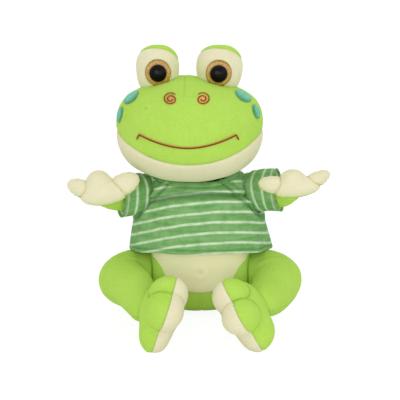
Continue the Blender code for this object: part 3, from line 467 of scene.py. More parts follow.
finishes = {
    "green_plush": plushFinish("limePlush", limeTones),
    "cream_plush": plushFinish("creamPlush", creamTones),
    "shirt_velour": velourFinish("stripedVelour"),
    "teal_satin": satinFinish("tealSatin"),
    "rust_thread": threadFinish("rustThread"),
    "cotton_lining": cottonFinish("liningCotton"),
    "amber_plastic": amberFinish("amberPlastic"),
    "black_plastic": plasticFinish("blackPlastic", rgb(5, 4, 5), rgb(10, 8, 9), 0.1),
    "white_plastic": plasticFinish("whitePlastic", rgb(214, 214, 208), rgb(228, 228, 222), 0.45),
}
print("finishes:", len(finishes))


def dress(piece, slot, body, *nodes):  # gives a piece its finish, its body and the nodes it stands for
    piece.data.materials.clear()
    piece.data.materials.append(finishes[slot])
    if body:
        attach(piece, body)
    if nodes:
        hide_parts(*nodes)
    return piece


# head: crown and chin meet on a curved seam, round a hollow for the fingers
headForm = dict(centre=np.array((-0.0122, -0.012, 0.221)), halfWidth=0.0862, front=0.072, back=0.066,
                top=0.055, bottom=0.059, sidePower=2.3, topPower=3.1, bottomPower=2.25, ridge=0.0078,
                ridgeWidth=0.030, ridgeShift=-0.004, muzzle=0.006, muzzleHeight=0.034, seamDrop=0.0275,
                seamRise=0.031)
headSewing = dict(cols=340, crownRows=140, chinRows=64, ratio=0.75, tuck=0.0012, tuckWidth=0.0026,
                  swell=0.0006, groove=0.0009, grooveWidth=0.0011, dart=-0.0055, dartEnd=(0.049, 0.051),
                  brow=0.0497, browWidth=0.0010, browReach=0.015, browFade=0.006, browShare=0.6,
                  dimple=(-0.0488, 0.036), dimpleWidth=0.0018, dimpleDepth=0.0012, lineWidth=0.0012,
                  lineShare=0.3, dimpleShade=0.6, dimpleShadeWidth=0.4)
neckPlace = np.array((-0.008, 0.0, 0.156))
hollow = dict(radius=0.0204, top=0.2530, seat=0.0306, mouth=0.0300, crownWall=0.1985, chinWall=0.1925,
              seatRadii=(0.0285, 0.026, 0.0232), cloth=0.0012, clothFoot=0.1885)
mound = dict(outs={1: 0.0338, -1: 0.0363}, shift=0.0012, widths={1: 0.0272, -1: 0.0252}, back=0.012,
             up=0.073, depth=0.022, rise=0.026, drop=0.036, power=2.4, lowerPowers={1: 2.0, -1: 2.3},
             normal=np.array((0.2, 1.1, 1.0)), capOffset=0.0086, cols=120, tuck=0.0014, tuckWidth=0.0018,
             pole=1.54, crowding=1.1, swell=0.0003, freed=0.01, freedWidth=0.0035, sunk=0.0004, line=0.35,
             lineWidth=0.0011)
eye = dict(drops={1: 0.0048, -1: 0.0041}, radius=0.015, seat=0.0182, thickness=0.004, pupil=0.010,
           dome=0.0052, room=0.0006, lip=(0.0026, 0.0008), post=(0.0024, 0.010), corner=0.0004,
           bevel=0.0022, cols=96, gap=0.0002, behind=0.0003, tip=0.0004, middle=0.0005, rim=0.0012,
           rimRise=0.0018, face=0.003, dish=0.001, dishWidth=0.004, ring=0.0012, ringSoft=0.001,
           pupilGap=0.0006, pupilEdge=0.0003, pupilWall=0.0006)
nostril = dict(shift=-0.0026, out=0.0177, up=0.0463, halfWidth=0.0083, halfHeight=0.0059, turns=1.9,
               start=np.radians(130), closing=0.82, thread=0.0009, filling=(0.9, 0.6))


def headHeight(x):  # half-height of the crown, with a ridge along the forehead
    return headForm["top"] + headForm["ridge"] * bell(x - headForm["ridgeShift"], headForm["ridgeWidth"])


def headSurface(turn, rise):  # superellipsoid with a ridge along the forehead and a muzzle swelling forward
    spread, aside, ahead, climb = superForm(turn, rise, headForm)
    x = headForm["halfWidth"] * spread * aside
    z = np.where(rise > 0, headHeight(x), headForm["bottom"]) * climb
    y = -np.where(ahead > 0, headForm["front"], headForm["back"]) * spread * ahead
    y = y - np.where(ahead > 0, headForm["muzzle"] * bell(z, headForm["muzzleHeight"]) * (1 - aside**2), 0)
    return headForm["centre"] + np.stack([x, y, z], -1)


def headFront(x, z):  # the same surface's front, solved for y at x and z from the head's centre
    power = np.where(z > 0, headForm["topPower"], headForm["bottomPower"])
    spread = (1 - np.abs(z / np.where(z > 0, headHeight(x), headForm["bottom"])) ** power) ** (1 / power)
    aside = np.abs(x) / (headForm["halfWidth"] * spread)
    y = -headForm["front"] * spread * (1 - aside ** headForm["sidePower"]) ** (1 / headForm["sidePower"])
    y = y - headForm["muzzle"] * bell(z, headForm["muzzleHeight"]) * (1 - aside**2)
    return headForm["centre"] + np.stack([x, y, z], -1)


def headTop(x, y):
    # height of the crown over x and y from the head's centre, or of its middle outside the crown
    flat, power = headForm["sidePower"], headForm["topPower"]
    depth = np.where(y < 0, headForm["front"], headForm["back"])
    spread = (np.abs(x / headForm["halfWidth"]) ** flat + np.abs(y / depth) ** flat) ** (1 / flat)
    return headForm["centre"][2] + headHeight(x) * np.clip(1 - spread**power, 0, None) ** (1 / power)


def eyePlace(side):  # the point of the mound's middle plane that the eye's post starts from
    height = mound["up"] - eye["drops"][side]
    return headForm["centre"] + (mound["outs"][side] * side, mound["back"], height)


def aboveSeam(points):  # height over the parabola that the chin seam follows
    local = points - headForm["centre"]
    rise = headForm["seamRise"] * (local[..., 0] / headForm["halfWidth"]) ** 2
    return local[..., 2] - rise + headForm["seamDrop"]


def outsideNeck(points):  # distance from the neck's axis, less the radius of the hollow's mouth
    return np.hypot(*(points - neckPlace)[..., :2].T) - hollow["mouth"]


def neckCircle(turn, radius, height):  # level circle about the neck's axis
    x, y = neckPlace[0] + radius * np.sin(turn), neckPlace[1] - radius * np.cos(turn)
    return np.stack([x, y, np.full_like(turn, height)], -1)


def headRows(turn, low, high, rows, table):
    # rise angles from one edge to another, evenly spaced over the surface
    shares = [np.interp(edge, table[1], table[0]) for edge in (low, high)]
    part = np.linspace(0, 1, rows)[:, None]
    rises = np.interp(shares[0] + (shares[1] - shares[0]) * part, *table)
    return np.broadcast_to(turn, rises.shape), rises


def makeCrown(turn, seam, table):
    # dome of the finger hollow, its wall, the seam's inside, then the outer skin up to the top
    sewing = headSewing
    turns, rises = headRows(turn, seam, np.full_like(turn, np.radians(89)), sewing["crownRows"], table)
    skin = headSurface(turns, rises)
    away = alongRows(skin)
    x, y, z = np.moveaxis(skin - headForm["centre"], -1, 0)
    face = y < 0
    dart = bell(x - sewing["dart"], sewing["grooveWidth"]) * np.maximum(ramp(z, *sewing["dartEnd"]), ~face)
    brow = bell(z - sewing["brow"], sewing["browWidth"]) * face
    brow = sewing["browShare"] * brow * ramp(sewing["browReach"] - np.abs(x), 0, sewing["browFade"])
    stitched = np.maximum(dart, brow)
    dimple = bell(np.hypot(x - sewing["dimple"][0], z - sewing["dimple"][1]), sewing["dimpleWidth"]) * face
    aside = np.abs(x - nostril["shift"]) - nostril["out"]
    filling = np.hypot(aside / nostril["halfWidth"], (z - nostril["up"]) / nostril["halfHeight"])
    # peach thread laid between the turns of the nostrils
    filling = ramp(filling, *nostril["filling"]) * face
    lift = -sewing["tuck"] * bell(away, sewing["tuckWidth"]) - sewing["groove"] * stitched
    lift = lift - sewing["dimpleDepth"] * dimple + sewing["swell"] * rumple(skin, 0.045, 3)
    outer = lifted(headSurface, turns, rises, lift)
    front = -eye["seat"] - eye["thickness"]
    # pressed in under the rim of each eye, with a lip left standing in front of it
    for side in sides.values():
        x, y, z = np.moveaxis(outer - eyePlace(side), -1, 0)
        rim = -np.sqrt(np.clip((eye["radius"] + eye["room"]) ** 2 - x**2, 0, None))
        outer[..., 2] -= np.clip(z - rim, 0, None) * ramp(y, *(front - width for width in eye["lip"]))
    radius, middle = hollow["radius"], hollow["top"] - hollow["radius"]
    dome = np.radians((84, 66, 44, 22, 0))
    inside = [neckCircle(turn, radius * np.cos(a), middle + radius * np.sin(a)) for a in dome]
    inside.append(neckCircle(turn, radius, hollow["crownWall"]))
    inside.append((inside[-1] + outer[0]) / 2)
    line = sewing["lineShare"] * np.maximum(bell(away, sewing["lineWidth"]), stitched)
    hidden = np.zeros((len(inside), len(turn)))
    # painted shade in the dimple, carried in the seam mark
    dimple = sewing["dimpleShade"] * bell(dimple - 1, sewing["dimpleShadeWidth"])
    marks = {"seam": np.concatenate([hidden + 1, np.maximum(line, dimple)]),
             "peach": np.concatenate([hidden, filling])}
    crown = gridPiece("headCrown", np.concatenate([np.stack(inside), outer]), marks=marks)
    dress(crown, "green_plush", "head", "left_crown", "right_crown")


def makeChin(turn, seam, table):
    # outer skin from the seam down to the neck, the ball seat, the hollow's wall and the seam's inside
    neckEdge = crossing(headSurface, outsideNeck, turn, -1.55, -0.5)
    turns, rises = headRows(turn, seam, neckEdge, headSewing["chinRows"], table)
    skin = headSurface(turns, rises)
    away = alongRows(skin)
    tuck = headSewing["tuck"] * bell(away, headSewing["tuckWidth"])
    lift = headSewing["swell"] * rumple(skin, 0.04, 5) - tuck
    outer = lifted(headSurface, turns, rises, lift)
    edge = outer[-1] - neckPlace
    turned = np.arctan2(edge[:, 0], -edge[:, 1])
    inside = []
    for radius in (*hollow["seatRadii"], hollow["radius"]):
        inside.append(neckCircle(turned, radius, neckPlace[2] + np.sqrt(hollow["seat"] ** 2 - radius**2)))
    inside.append(neckCircle(turned, hollow["radius"], hollow["chinWall"]))
    inside.append((inside[-1] + outer[0]) / 2)
    line = headSewing["lineShare"] * bell(away, headSewing["lineWidth"])
    marks = {"seam": np.concatenate([line, np.zeros((len(inside), len(turn)))])}
    chin = gridPiece("headChin", np.concatenate([outer, np.stack(inside)]), closed=True, marks=marks)
    dress(chin, "cream_plush", "head", "head_chin")


def makeFingerPocket():  # a round-ended cotton tube in the hollow: down its outside, then up its inside
    angle = np.radians(np.linspace(0, 86, 9))
    wide, top = hollow["radius"] - hollow["cloth"], hollow["top"] - hollow["cloth"]
    height = np.linspace(hollow["clothFoot"], top - wide, 12)[:-1]
    layers = []
    for radius in (wide, wide - hollow["cloth"]):
        wall = np.stack([np.full_like(height, radius), height], -1)
        dome = np.stack([radius * np.cos(angle), top - wide + radius * np.sin(angle)], -1)
        layers.append(np.vstack([wall, dome]))
    grid = turnedGrid(np.vstack([layers[0][::-1], layers[1]]), (neckPlace[0], neckPlace[1], 0), 64)
    pocket = dress(gridPiece("fingerPocket", grid), "cotton_lining", "head", "finger_pocket")


def makeHead():  # crown and chin share their turns round the head and the line of the seam
    table = evenTable(headForm, headSewing["ratio"])
    turn = np.pi + ringTurns(headSewing["cols"])
    seam = crossing(headSurface, aboveSeam, turn, -1.4, 1.4)
    makeCrown(turn, seam, table)
    makeChin(turn, seam, table)
    makeFingerPocket()


# eyes: padded mounds with a green cap sewn over the top and back, and moulded plastic eyes
def moundSurface(centre, width, lowerPower):
    # superellipsoid seen in a frame whose pole leans back with the cap
    axis = unit(mound["normal"])
    across = unit(np.array((1, 0, 0)) - axis * axis[0])
    back = np.cross(axis, across)

    def surface(turn, rise):
        level, climb = np.cos(rise), np.sin(rise)
        aside, ahead = (level * np.sin(turn))[..., None], (level * np.cos(turn))[..., None]
        x, y, z = np.moveaxis(aside * across - ahead * back + climb[..., None] * axis, -1, 0)
        power = 2 / np.where(z > 0, mound["power"], lowerPower)
        spread, around = np.hypot(x, y) ** power, np.arctan2(y, x)
        height = np.where(z > 0, mound["rise"], mound["drop"])
        return centre + np.stack([width * spread * np.cos(around), mound["depth"] * spread * np.sin(around),
                                  height * signedPower(z, power)], -1)

    return surface, lambda points: (points - centre) @ axis - mound["capOffset"]


def makeMound(word, side):  # cap and mound each run from the seam between them to their own pole
    eyeAxis = eyePlace(side)
    centre = eyeAxis + (mound["shift"] * side, 0, eye["drops"][side])
    surface, overCap = moundSurface(centre, mound["widths"][side], mound["lowerPowers"][side])
    turn = ringTurns(mound["cols"])
    seam = crossing(surface, overCap, turn, -1.2, 1.2)
    halves = (("EyeCap", "_eye_cap", mound["pole"], 40, "green_plush"),
              ("EyeMound", "_eye_mound", -mound["pole"], 70, "cream_plush"))
    for name, node, end, rows, slot in halves:
        rise = seam + (end - seam) * np.linspace(0, 1, rows)[:, None] ** mound["crowding"]
        turns = np.broadcast_to(turn, rise.shape)
        skin = surface(turns, rise)
        away = alongRows(skin)
        lift = -mound["tuck"] * bell(away, mound["tuckWidth"]) + mound["swell"] * rumple(skin, 0.02, 7)
        grid = lifted(surface, turns, rise, lift)
        local = grid - eyeAxis
        past = np.hypot(local[..., 0], local[..., 2]) - eye["radius"]
        seat = eye["seat"] - eye["gap"] + mound["freed"] * ramp(past, -eye["gap"], mound["freedWidth"])
        grid[..., 1] = np.maximum(grid[..., 1], eyeAxis[1] - seat)  # pressed in behind the plastic
        local = grid - headForm["centre"]
        crown = headTop(local[..., 0], local[..., 1])
        grid[..., 2] = np.maximum(grid[..., 2], crown - mound["sunk"])  # sewn down on the crown
        line = mound["line"] * bell(away, mound["lineWidth"])
        piece = gridPiece(word + name, grid, marks={"seam": line})
        dress(piece, slot, "head", word + node)


def makeEye(word, side):  # a disc on a post, bevelled at its rim and dished under a domed pupil
    eyeAxis, wide, thick, bevel = eyePlace(side), eye["radius"], eye["thickness"], eye["bevel"]
    back, (postRadius, postLength), corner = eye["seat"] + eye["behind"], eye["post"], eye["corner"]
    profile = [(eye["tip"], back - postLength), (postRadius, back - postLength), (postRadius, back),
               (wide - corner, back), (wide, back + corner)]
    for angle in np.radians(np.linspace(0, 90, 8)):
        height = back + eye["rim"] + eye["rimRise"] * np.sin(angle)
        profile.append((wide - bevel + bevel * np.cos(angle), height))
    for radius in np.linspace(wide - eye["face"], eye["middle"], 14):
        rise = eye["dish"] * ramp(wide - bevel - radius, 0, eye["dishWidth"])
        profile.append((radius, back + thick - eye["dish"] + rise))
    radius = np.array(profile)[:, :1]
    # painted shade at the bevel and round the pupil's foot, read by the amber finish as rim
    ring = ramp(eye["pupil"] + eye["ring"] - radius, 0, eye["ringSoft"])
    rim = np.maximum(ramp(radius, wide - bevel, wide), ring)
    disc = gridPiece(word + "Eye", turnedGrid(profile, eyeAxis, eye["cols"], "front"), marks={"rim": rim})
    dress(disc, "amber_plastic", "head", word + "_eye")

    base, edge = eye["seat"] + thick + eye["pupilGap"], eye["pupilEdge"]
    profile = [(eye["middle"], base), (eye["pupil"] - edge, base), (eye["pupil"], base + edge)]
    for angle in np.radians(np.linspace(0, 88, 22)):
        height = base + eye["pupilWall"] + eye["dome"] * np.sin(angle)
        profile.append((eye["pupil"] * np.cos(angle), height))
    pupil = gridPiece(word + "Pupil", turnedGrid(profile, eyeAxis, eye["cols"], "front"))
    dress(pupil, "black_plastic", "head", word + "_pupil")
    frame["nodes"][word + "_eye_washer"].data.materials[0] = finishes["white_plastic"]


# embroidery on the face, and satin spots laid on the head at a turn and a rise, in degrees
mouth = dict(halfWidth=0.0534, low=-0.0048, rise=0.0122, power=1.8, tick=0.006, tickOut=0.0033,
             radius=0.00125, shift=-0.0016)
spots = {"upper": dict(size=(15.5, 11.0), tilt=np.radians(22), places={1: (66.9, 47.5), -1: (72.5, 43.0)}),
         "lower": dict(size=(7.0, 9.2), tilt=np.radians(-10), places={1: (67.0, 21.0), -1: (70.5, 16.3)})}

# how deep a thread lies, and how it thins at its ends; how high a spot stands, and where painted shade
# darkens its edge
laid = dict(step=0.0005, proud=0.75, tip=0.35, taper=0.4, cols=12)
spotPad = dict(cols=72, rows=36, lift=0.0008, half=0.0010, edge=0.5, dark=0.75, shadeSide=0.35,
               shadeSpan=(0.45, 1.0))


def faceThread(name, x, z, radius, *nodes):  # a round thread half sunk along a line drawn on the face
    step = laid["step"]
    across = headFront(x + step, z) - headFront(x - step, z)
    up = headFront(x, z + step) - headFront(x, z - step)
    normal = unit(np.cross(across, up))
    path = headFront(x, z) + normal * radius * laid["proud"]
    fromEnd = np.minimum(np.arange(len(x)), np.arange(len(x))[::-1])
    sizes = radius * np.minimum(1, laid["tip"] + laid["taper"] * fromEnd)
    grid = pathRings(path, sizes, sizes, laid["cols"], normal)
    return dress(gridPiece(name, grid), "rust_thread", "head", *nodes)


def makeMouth():  # a smile that rises as a power of x, with a straight tick at each end
    x = np.linspace(-1, 1, 121) * mouth["halfWidth"]
    z = mouth["low"] + mouth["rise"] * np.abs(x / mouth["halfWidth"]) ** mouth["power"]
    part = np.linspace(1, 0, 9)[:-1]
    tickX = mouth["halfWidth"] + mouth["tickOut"] * part
    tickZ = mouth["low"] + mouth["rise"] - mouth["tick"] * part
    x = np.concatenate([-tickX, x, tickX[::-1]]) + mouth["shift"]
    z = np.concatenate([tickZ, z, tickZ[::-1]])
    faceThread("mouthStitch", x, z, mouth["radius"], "mouth_stitch")


def makeNostril(word, side):  # a flattened spiral that closes evenly as it turns
    part = np.linspace(0, 1, 110)
    turn = nostril["start"] - tau * nostril["turns"] * part
    closing = 1 - nostril["closing"] * part
    x = nostril["shift"] + (nostril["out"] + nostril["halfWidth"] * closing * np.cos(turn)) * side
    z = nostril["up"] + nostril["halfHeight"] * closing * np.sin(turn)
    faceThread(word + "NostrilStitch", x, z, nostril["thread"], word + "_nostril_stitch")


def makeSpot(word, side, level):  # a flat oval cushion: its edge draws in as the square root of cos(climb)
    spot = spots[level]
    (atTurn, atRise), tilt = spot["places"][side], spot["tilt"]
    around = ringTurns(spotPad["cols"])
    climb = np.radians(np.linspace(-86, 86, spotPad["rows"]))[:, None]
    reach = np.cos(climb) ** spotPad["edge"]
    length, width = spot["size"][0] * np.cos(around) * reach, spot["size"][1] * np.sin(around) * reach
    turn = np.radians(atTurn + length * np.cos(tilt) - width * np.sin(tilt)) * side
    rise = np.radians(atRise + length * np.sin(tilt) + width * np.cos(tilt))
    lift = spotPad["lift"] + spotPad["half"] * np.sin(climb) + 0 * around
    grid = lifted(headSurface, turn, rise, lift)
    inner = reach * (spotPad["dark"] - spotPad["shadeSide"] * np.cos(around))
    inner = ramp(inner, *spotPad["shadeSpan"])  # painted shade: darker on the edge toward the face
    piece = gridPiece(word + level.title() + "Spot", grid, marks={"inner": inner})
    dress(piece, "teal_satin", "head", f"{word}_{level}_spot")


makeHead()
for word, side in sides.items():
    makeMound(word, side)
    makeEye(word, side)
makeMouth()
for word, side in sides.items():
    makeNostril(word, side)
    for level in spots:
        makeSpot(word, side, level)
print("head done")


# torso: a padded egg on a flat seat, with the hand pocket let into its back
torsoForm = dict(centre=np.array((0, 0, 0.062)), halfWidth=0.071, front=0.064, back=0.060, top=0.088,
                 bottom=0.064, sidePower=2.3, topPower=4.0, bottomPower=2.8, ratio=1.1, cols=176, rows=120,
                 ends=0.985, seam=0.0015, seamWidth=0.0011, seamTop=0.05, groove=0.0012, swell=0.0007)
hip = dict(place=np.array((0.057, -0.014, 0.038)), flat=0.0568, inner=0.035, outer=0.054, dish=0.006,
           dishEdge=(0.016, 0.029), drawn=(0.034, 0.045), drawnFront=(-0.004, 0.016))
belly = dict(halfWidth=0.058, halfHeight=0.054, height=0.090, navel=(0.0, 0.0620), proud=0.0009,
             under=0.0016, cols=140, underRows=14, underReach=(0.04, 0.98), frontRows=60,
             frontReach=(0.99, 0.02),
             edge=((1.0, -0.0014), (1.006, -0.0008), (1.006, -0.0002), (1.0, 0.0004)),
             middle=(0, 0, 0.075), outward=(1, 1.4, 0.7), tuft=0.0010, tuftReach=0.006, tuftWidth=0.004,
             pinch=0.003, puff=0.0010, puffReach=0.12, swell=0.0006, line=0.0012, navelShadeWidth=0.0028,
             navelShade=0.3)
pocketPath = [(0, 0.085, 0.044), (0, 0.045, 0.045), (0, 0.012, 0.060), (0, -0.003, 0.088),
              (-0.004, -0.002, 0.118), (-0.008, 0, 0.150)]
handPocket = dict(widths=(0.042, 0.042, 0.042, 0.040, 0.030, 0.0195),
                  depths=(0.023, 0.023, 0.025, 0.026, 0.024, 0.0195), cols=56, room=0.0003,
                  inside=0.0015, cutOff=5, proud=0.0004, heights=(0.004, 0.14))
binding = dict(halfWidth=0.0440, halfHeight=0.0250, height=0.0445, radius=0.0021, proud=0.0012, cols=14,
               stitches=120, pinch=0.06)
neckPad = dict(radius=0.029, bore=0.0197, boreEnd=0.0198, arc=0.76)
shoulder = dict(place=(0.060, -0.006, 0.142),
                elbows={1: (0.084, -0.024, 0.1465), -1: (-0.084, -0.024, 0.144)}, seat=0.0196,
                drop=np.radians(20), seatLength=0.045)


def torsoSurface(turn, rise):  # superellipsoid, blunter at the shoulders than at the seat
    spread, aside, ahead, climb = superForm(turn, rise, torsoForm)
    x = torsoForm["halfWidth"] * spread * aside
    y = -np.where(ahead > 0, torsoForm["front"], torsoForm["back"]) * spread * ahead
    z = np.where(rise > 0, torsoForm["top"], torsoForm["bottom"]) * climb
    return torsoForm["centre"] + np.stack([x, y, z], -1)


def torsoDepth(x, z, back):  # how far forward or back the same surface is at x and z
    rise, flat = z - torsoForm["centre"][2], torsoForm["sidePower"]
    power = np.where(rise > 0, torsoForm["topPower"], torsoForm["bottomPower"])
    height = np.where(rise > 0, torsoForm["top"], torsoForm["bottom"])
    spread = (1 - np.abs(rise / height) ** power) ** (1 / power)
    aside = np.abs(x) / (torsoForm["halfWidth"] * spread)
    reach = spread * np.clip(1 - aside**flat, 0, None) ** (1 / flat)
    return torsoForm["back"] * reach if back else -torsoForm["front"] * reach


def armWay(side):  # direction from shoulder to elbow
    return unit(np.array(shoulder["elbows"][side]) - mirrored(shoulder["place"], side))


def fromHip(grid):  # distance from the axis that both thighs turn about
    return np.hypot(grid[..., 1] - hip["place"][1], grid[..., 2] - hip["place"][2])


def pocketRings(inset):  # ellipses along the hand pocket, drawn in by the inset
    sizes = (smoothPath(np.array(handPocket[key]), 8)[:, 0] - inset for key in ("widths", "depths"))
    return pathRings(smoothPath(pocketPath, 8), *sizes, handPocket["cols"], (1, 0, 0))


def makeTorso():
    # the egg's skin pulled in on the middle seam, less the space of the pocket, the neck's ball and the arms
    shares = np.linspace(-torsoForm["ends"], torsoForm["ends"], torsoForm["rows"])
    rise = np.interp(shares, *evenTable(torsoForm, torsoForm["ratio"]))[:, None]
    turns, rises = np.broadcast_arrays(np.pi + ringTurns(torsoForm["cols"]), rise)
    skin = torsoSurface(turns, rises)
    seam = bell(skin[..., 0] - torsoForm["seam"], torsoForm["seamWidth"])
    seam = seam * ((skin[..., 2] < torsoForm["seamTop"]) | (skin[..., 1] > 0))
    lift = -torsoForm["groove"] * seam + torsoForm["swell"] * rumple(skin, 0.05, 11)
    grid = lifted(torsoSurface, turns, rises, lift)
    # pressed flat where the thighs turn, drawn out to them in front
    away, aside = fromHip(grid), np.abs(grid[..., 0])
    drawn = ramp(aside, *hip["drawn"])
    flat = np.where(aside > hip["flat"], 1, drawn * ramp(-grid[..., 1], *hip["drawnFront"]))
    press = flat * (aside - hip["flat"]) * (1 - ramp(away, hip["inner"], hip["outer"]))
    press = press + hip["dish"] * (1 - ramp(away, *hip["dishEdge"])) * drawn
    grid[..., 0] -= np.sign(grid[..., 0]) * press
    grid[..., 2] = np.maximum(grid[..., 2], 0)
    torso = gridPiece("torsoBody", grid, marks={"seam": seam})
    angle = np.radians(np.linspace(-86, 86, 24))
    ball = hollow["seat"] * np.stack([np.cos(angle), np.sin(angle)], -1)
    cutters = [gridPiece("pocketCut", pocketRings(0))]
    cutters.append(gridPiece("neckCut", turnedGrid(ball, neckPlace, 48)))
    for word, side in sides.items():
        start = mirrored(shoulder["place"], side)
        end = start + unit(armWay(side) - (0, 0, np.tan(shoulder["drop"]))) * shoulder["seatLength"]
        seat = stuffedTube([start, end], [shoulder["seat"]] * 2, 40, 4)[0]
        cutters.append(gridPiece(word + "ArmCut", seat))
    dress(cutAway(torso, *cutters), "green_plush", "torso", "left_torso", "right_torso")


def makeBelly():
    # an oval laid on the torso's front, its edge turned under, with a tuft stitched in as a navel
    around, low, high = ringTurns(belly["cols"]), belly["underRows"], belly["frontRows"]
    edgeReach, edgeProud = np.array(belly["edge"]).T
    reach = np.concatenate([np.linspace(*belly["underReach"], low), edgeReach,
                            np.linspace(*belly["frontReach"], high)])
    proud = np.concatenate([np.full(low, -belly["under"]), edgeProud, np.full(high, belly["proud"])])
    front = (np.arange(len(reach)) >= len(reach) - high)[:, None]
    reach, proud = reach[:, None], proud[:, None]
    x = belly["halfWidth"] * reach * np.cos(around)
    z = belly["height"] + belly["halfHeight"] * reach * np.sin(around)
    grid = np.stack([x, torsoDepth(x, z, False), z], -1)
    outward = unit((grid - belly["middle"]) * belly["outward"])
    navel = np.hypot(x - belly["navel"][0], z - belly["navel"][1])
    tuft = belly["tuft"] * bell(navel - belly["tuftReach"], belly["tuftWidth"])
    tuft = tuft - belly["tuft"] * bell(navel, belly["pinch"])
    puff = belly["puff"] * ramp(1 - reach, 0, belly["puffReach"])
    puff = puff + belly["swell"] * rumple(grid, 0.04, 13) + tuft
    grid = grid + outward * np.where(front, proud + puff, proud + 0 * puff)[..., None]
    line = bell((1 - reach) * belly["halfHeight"], belly["line"])
    # painted shade round the navel joins the edge's seam line
    seam = np.maximum(line, belly["navelShade"] * bell(navel, belly["navelShadeWidth"])) * front
    # pale: painted light over the whole panel
    panel = gridPiece("bellyPanel", grid, marks={"seam": seam, "pale": 1.0})
    dress(panel, "cream_plush", "torso", "belly_panel")


def makePocket():
    # a cotton tube just inside the pocket, cut off at the torso's back, and a tape rolled over its edge
    layers = []
    for inset in (handPocket["room"], handPocket["inside"]):
        rings = pocketRings(inset)[:-handPocket["cutOff"]]
        height = np.clip(rings[..., 2], *handPocket["heights"])
        limit = torsoDepth(rings[..., 0], height, True) + handPocket["proud"]
        rings[..., 1] = np.minimum(rings[..., 1], limit)
        layers.append(rings)
    lining = gridPiece("pocketLining", np.concatenate([layers[0], layers[1][::-1]]), closed=True)
    dress(lining, "cotton_lining", "torso", "hand_pocket_lining")

    around = ringTurns(binding["stitches"])
    x, z = binding["halfWidth"] * np.cos(around), binding["height"] + binding["halfHeight"] * np.sin(around)
    path = np.stack([x, torsoDepth(x, z, True) + binding["proud"], z], -1)
    path = np.vstack([path, path[:1]])
    # pulled in between every third stitch
    pinch = binding["pinch"] * np.cos(np.arange(len(path)) * tau / 3)
    sizes = binding["radius"] * (1 + pinch)
    rings = pathRings(path, sizes, sizes, binding["cols"], (0, 1, 0))
    rings[0] = rings[-1] = (rings[0] + rings[-1]) / 2
    dress(gridPiece("openingBinding", rings[:-1], closed=True), "cotton_lining", "torso", "opening_binding")


def makeNeck():  # a padded ring seated in the torso's top: part of a ball with a hole through it
    angle = np.linspace(-neckPad["arc"], neckPad["arc"], 22)
    ball = neckPad["radius"] * np.stack([np.cos(angle), np.sin(angle)], -1)
    ends = np.array([(neckPad["bore"], height * neckPad["boreEnd"]) for height in (-1, 1)])
    grid = turnedGrid(np.vstack([ends[:1], ball, ends[1:]]), neckPlace, 96)
    neck = gridPiece("neckRing", grid, closed=True)
    dress(neck, "cotton_lining", "neck", "neck_tube")


makeTorso()
makeBelly()
makePocket()
makeNeck()
print("torso done")


# shirt: a loose velour tube that widens to the hem, with set-in sleeves
shirt = dict(hem=0.0868, sideHem=0.0725, top=0.159, peak=0.161, neckWidth=0.046, neckFront=0.036,
             neckBack=0.038, flareWidth=0.0423, flareFront=0.0406, flareBack=0.0306, flarePower=0.45,
             folds=7, foldDepth=0.0016, foldPhase=0.6, lean=-0.0061, rises={1: 0.0095, -1: 0.0060},
             cloth=0.0016, cols=300, rows=96, stitch=0.0045, stitchWidth=0.0007, stitchDepth=0.0006,
             edgeWidth=0.0010, crowding=1.6, ripple=0.0007, ripples=11, rippleSlant=55,
             rippleDrop=(0.5, 0.9))
chestFolds = dict(height=0.1520, sag=0.012, lean=0.003, groove=0.0046, width=0.0026, roll=0.0022,
                  rollUp=0.0050, rollWidth=0.0034, under=0.0014, underDown=0.0065, underWidth=0.0045,
                  front=(0.05, 0.55), mark=0.9, shadeFront=(0.010, 0.045))
tugs = dict(aside=0.72, top=0.150, slant=9, count=34, width=0.16, depth=0.0020, front=(0.0, 0.25),
            heights=(0.108, 0.128), mark=0.75, shadeRange=(0.15, 0.9))
armholes = dict(puff=0.0305, puffWidth=0.0035, seam=0.0255, seamWidth=0.0018, seamShare=0.8,
                ends=(0.0213, 0.0266), length=0.042)
# number of the stripe over the cloth: a plane in x and z, bent by x squared, and dipping with y in front
stripes = dict(start=11.98, perMetre=-79.8, slope=7.3, droop=-75.0, dip=-26.3, ease=0.018, wander=0.05)
neckband = dict(height=0.0047, lean=0.0035, nape=0.007,
                ring=((0.0, 0.0), (0.0, 0.35), (0.0006, 0.7), (0.0016, 1.0), (0.0030, 1.0), (0.0034, 0.6),
                      (0.0034, 0.0)), gap=0.0003, waves=((0.0009, 7, 1), (0.0006, 13, 0)),
                napeSpan=(-0.2, 0.4))
sleeve = dict(pitch=0.0104, offset=0.35, cols=120, lifts={1: 0.0045, -1: 0.0010}, liftSpan=(-0.012, 0.026),
              slant=0.5, slantSpan=(0.0, 0.042), puff=0.0020, ends=(-0.017, 0.042),
              radii=(0.010, 0.0205, 0.0236, 0.0250, 0.0252, 0.0256), steps=9, hem=0.0385, hemWidth=0.0008,
              hemDepth=0.03, bunch=0.28, bunchAt=0.031, bunchWidth=0.005, blend=(-0.004, 0.038))
# gathers at the armhole, flutes toward the cuff, and furls that ring the sleeve near its top, with painted
# shade in the furls
sleeveFolds = dict(gathers=8, gather=0.05, gatherAt=0.002, gatherWidth=0.010, gatherPhase=1.3, flutes=5,
                   flute=0.022, fluteTwist=60, fluteSpan=(0.0, 0.03), furls=560, furl=0.035, furlBend=1.2,
                   furlPhase=0.6, furlAt=0.008, furlWidth=0.010, furlFloor=-0.3, mark=0.6,
                   shadeRange=(0.35, 1.0))


def collarRise(turn):  # how much higher the neck edge stands beside the chin than in front of it
    return np.where(np.sin(turn) > 0, shirt["rises"][1], shirt["rises"][-1]) * np.abs(np.sin(turn)) ** 3


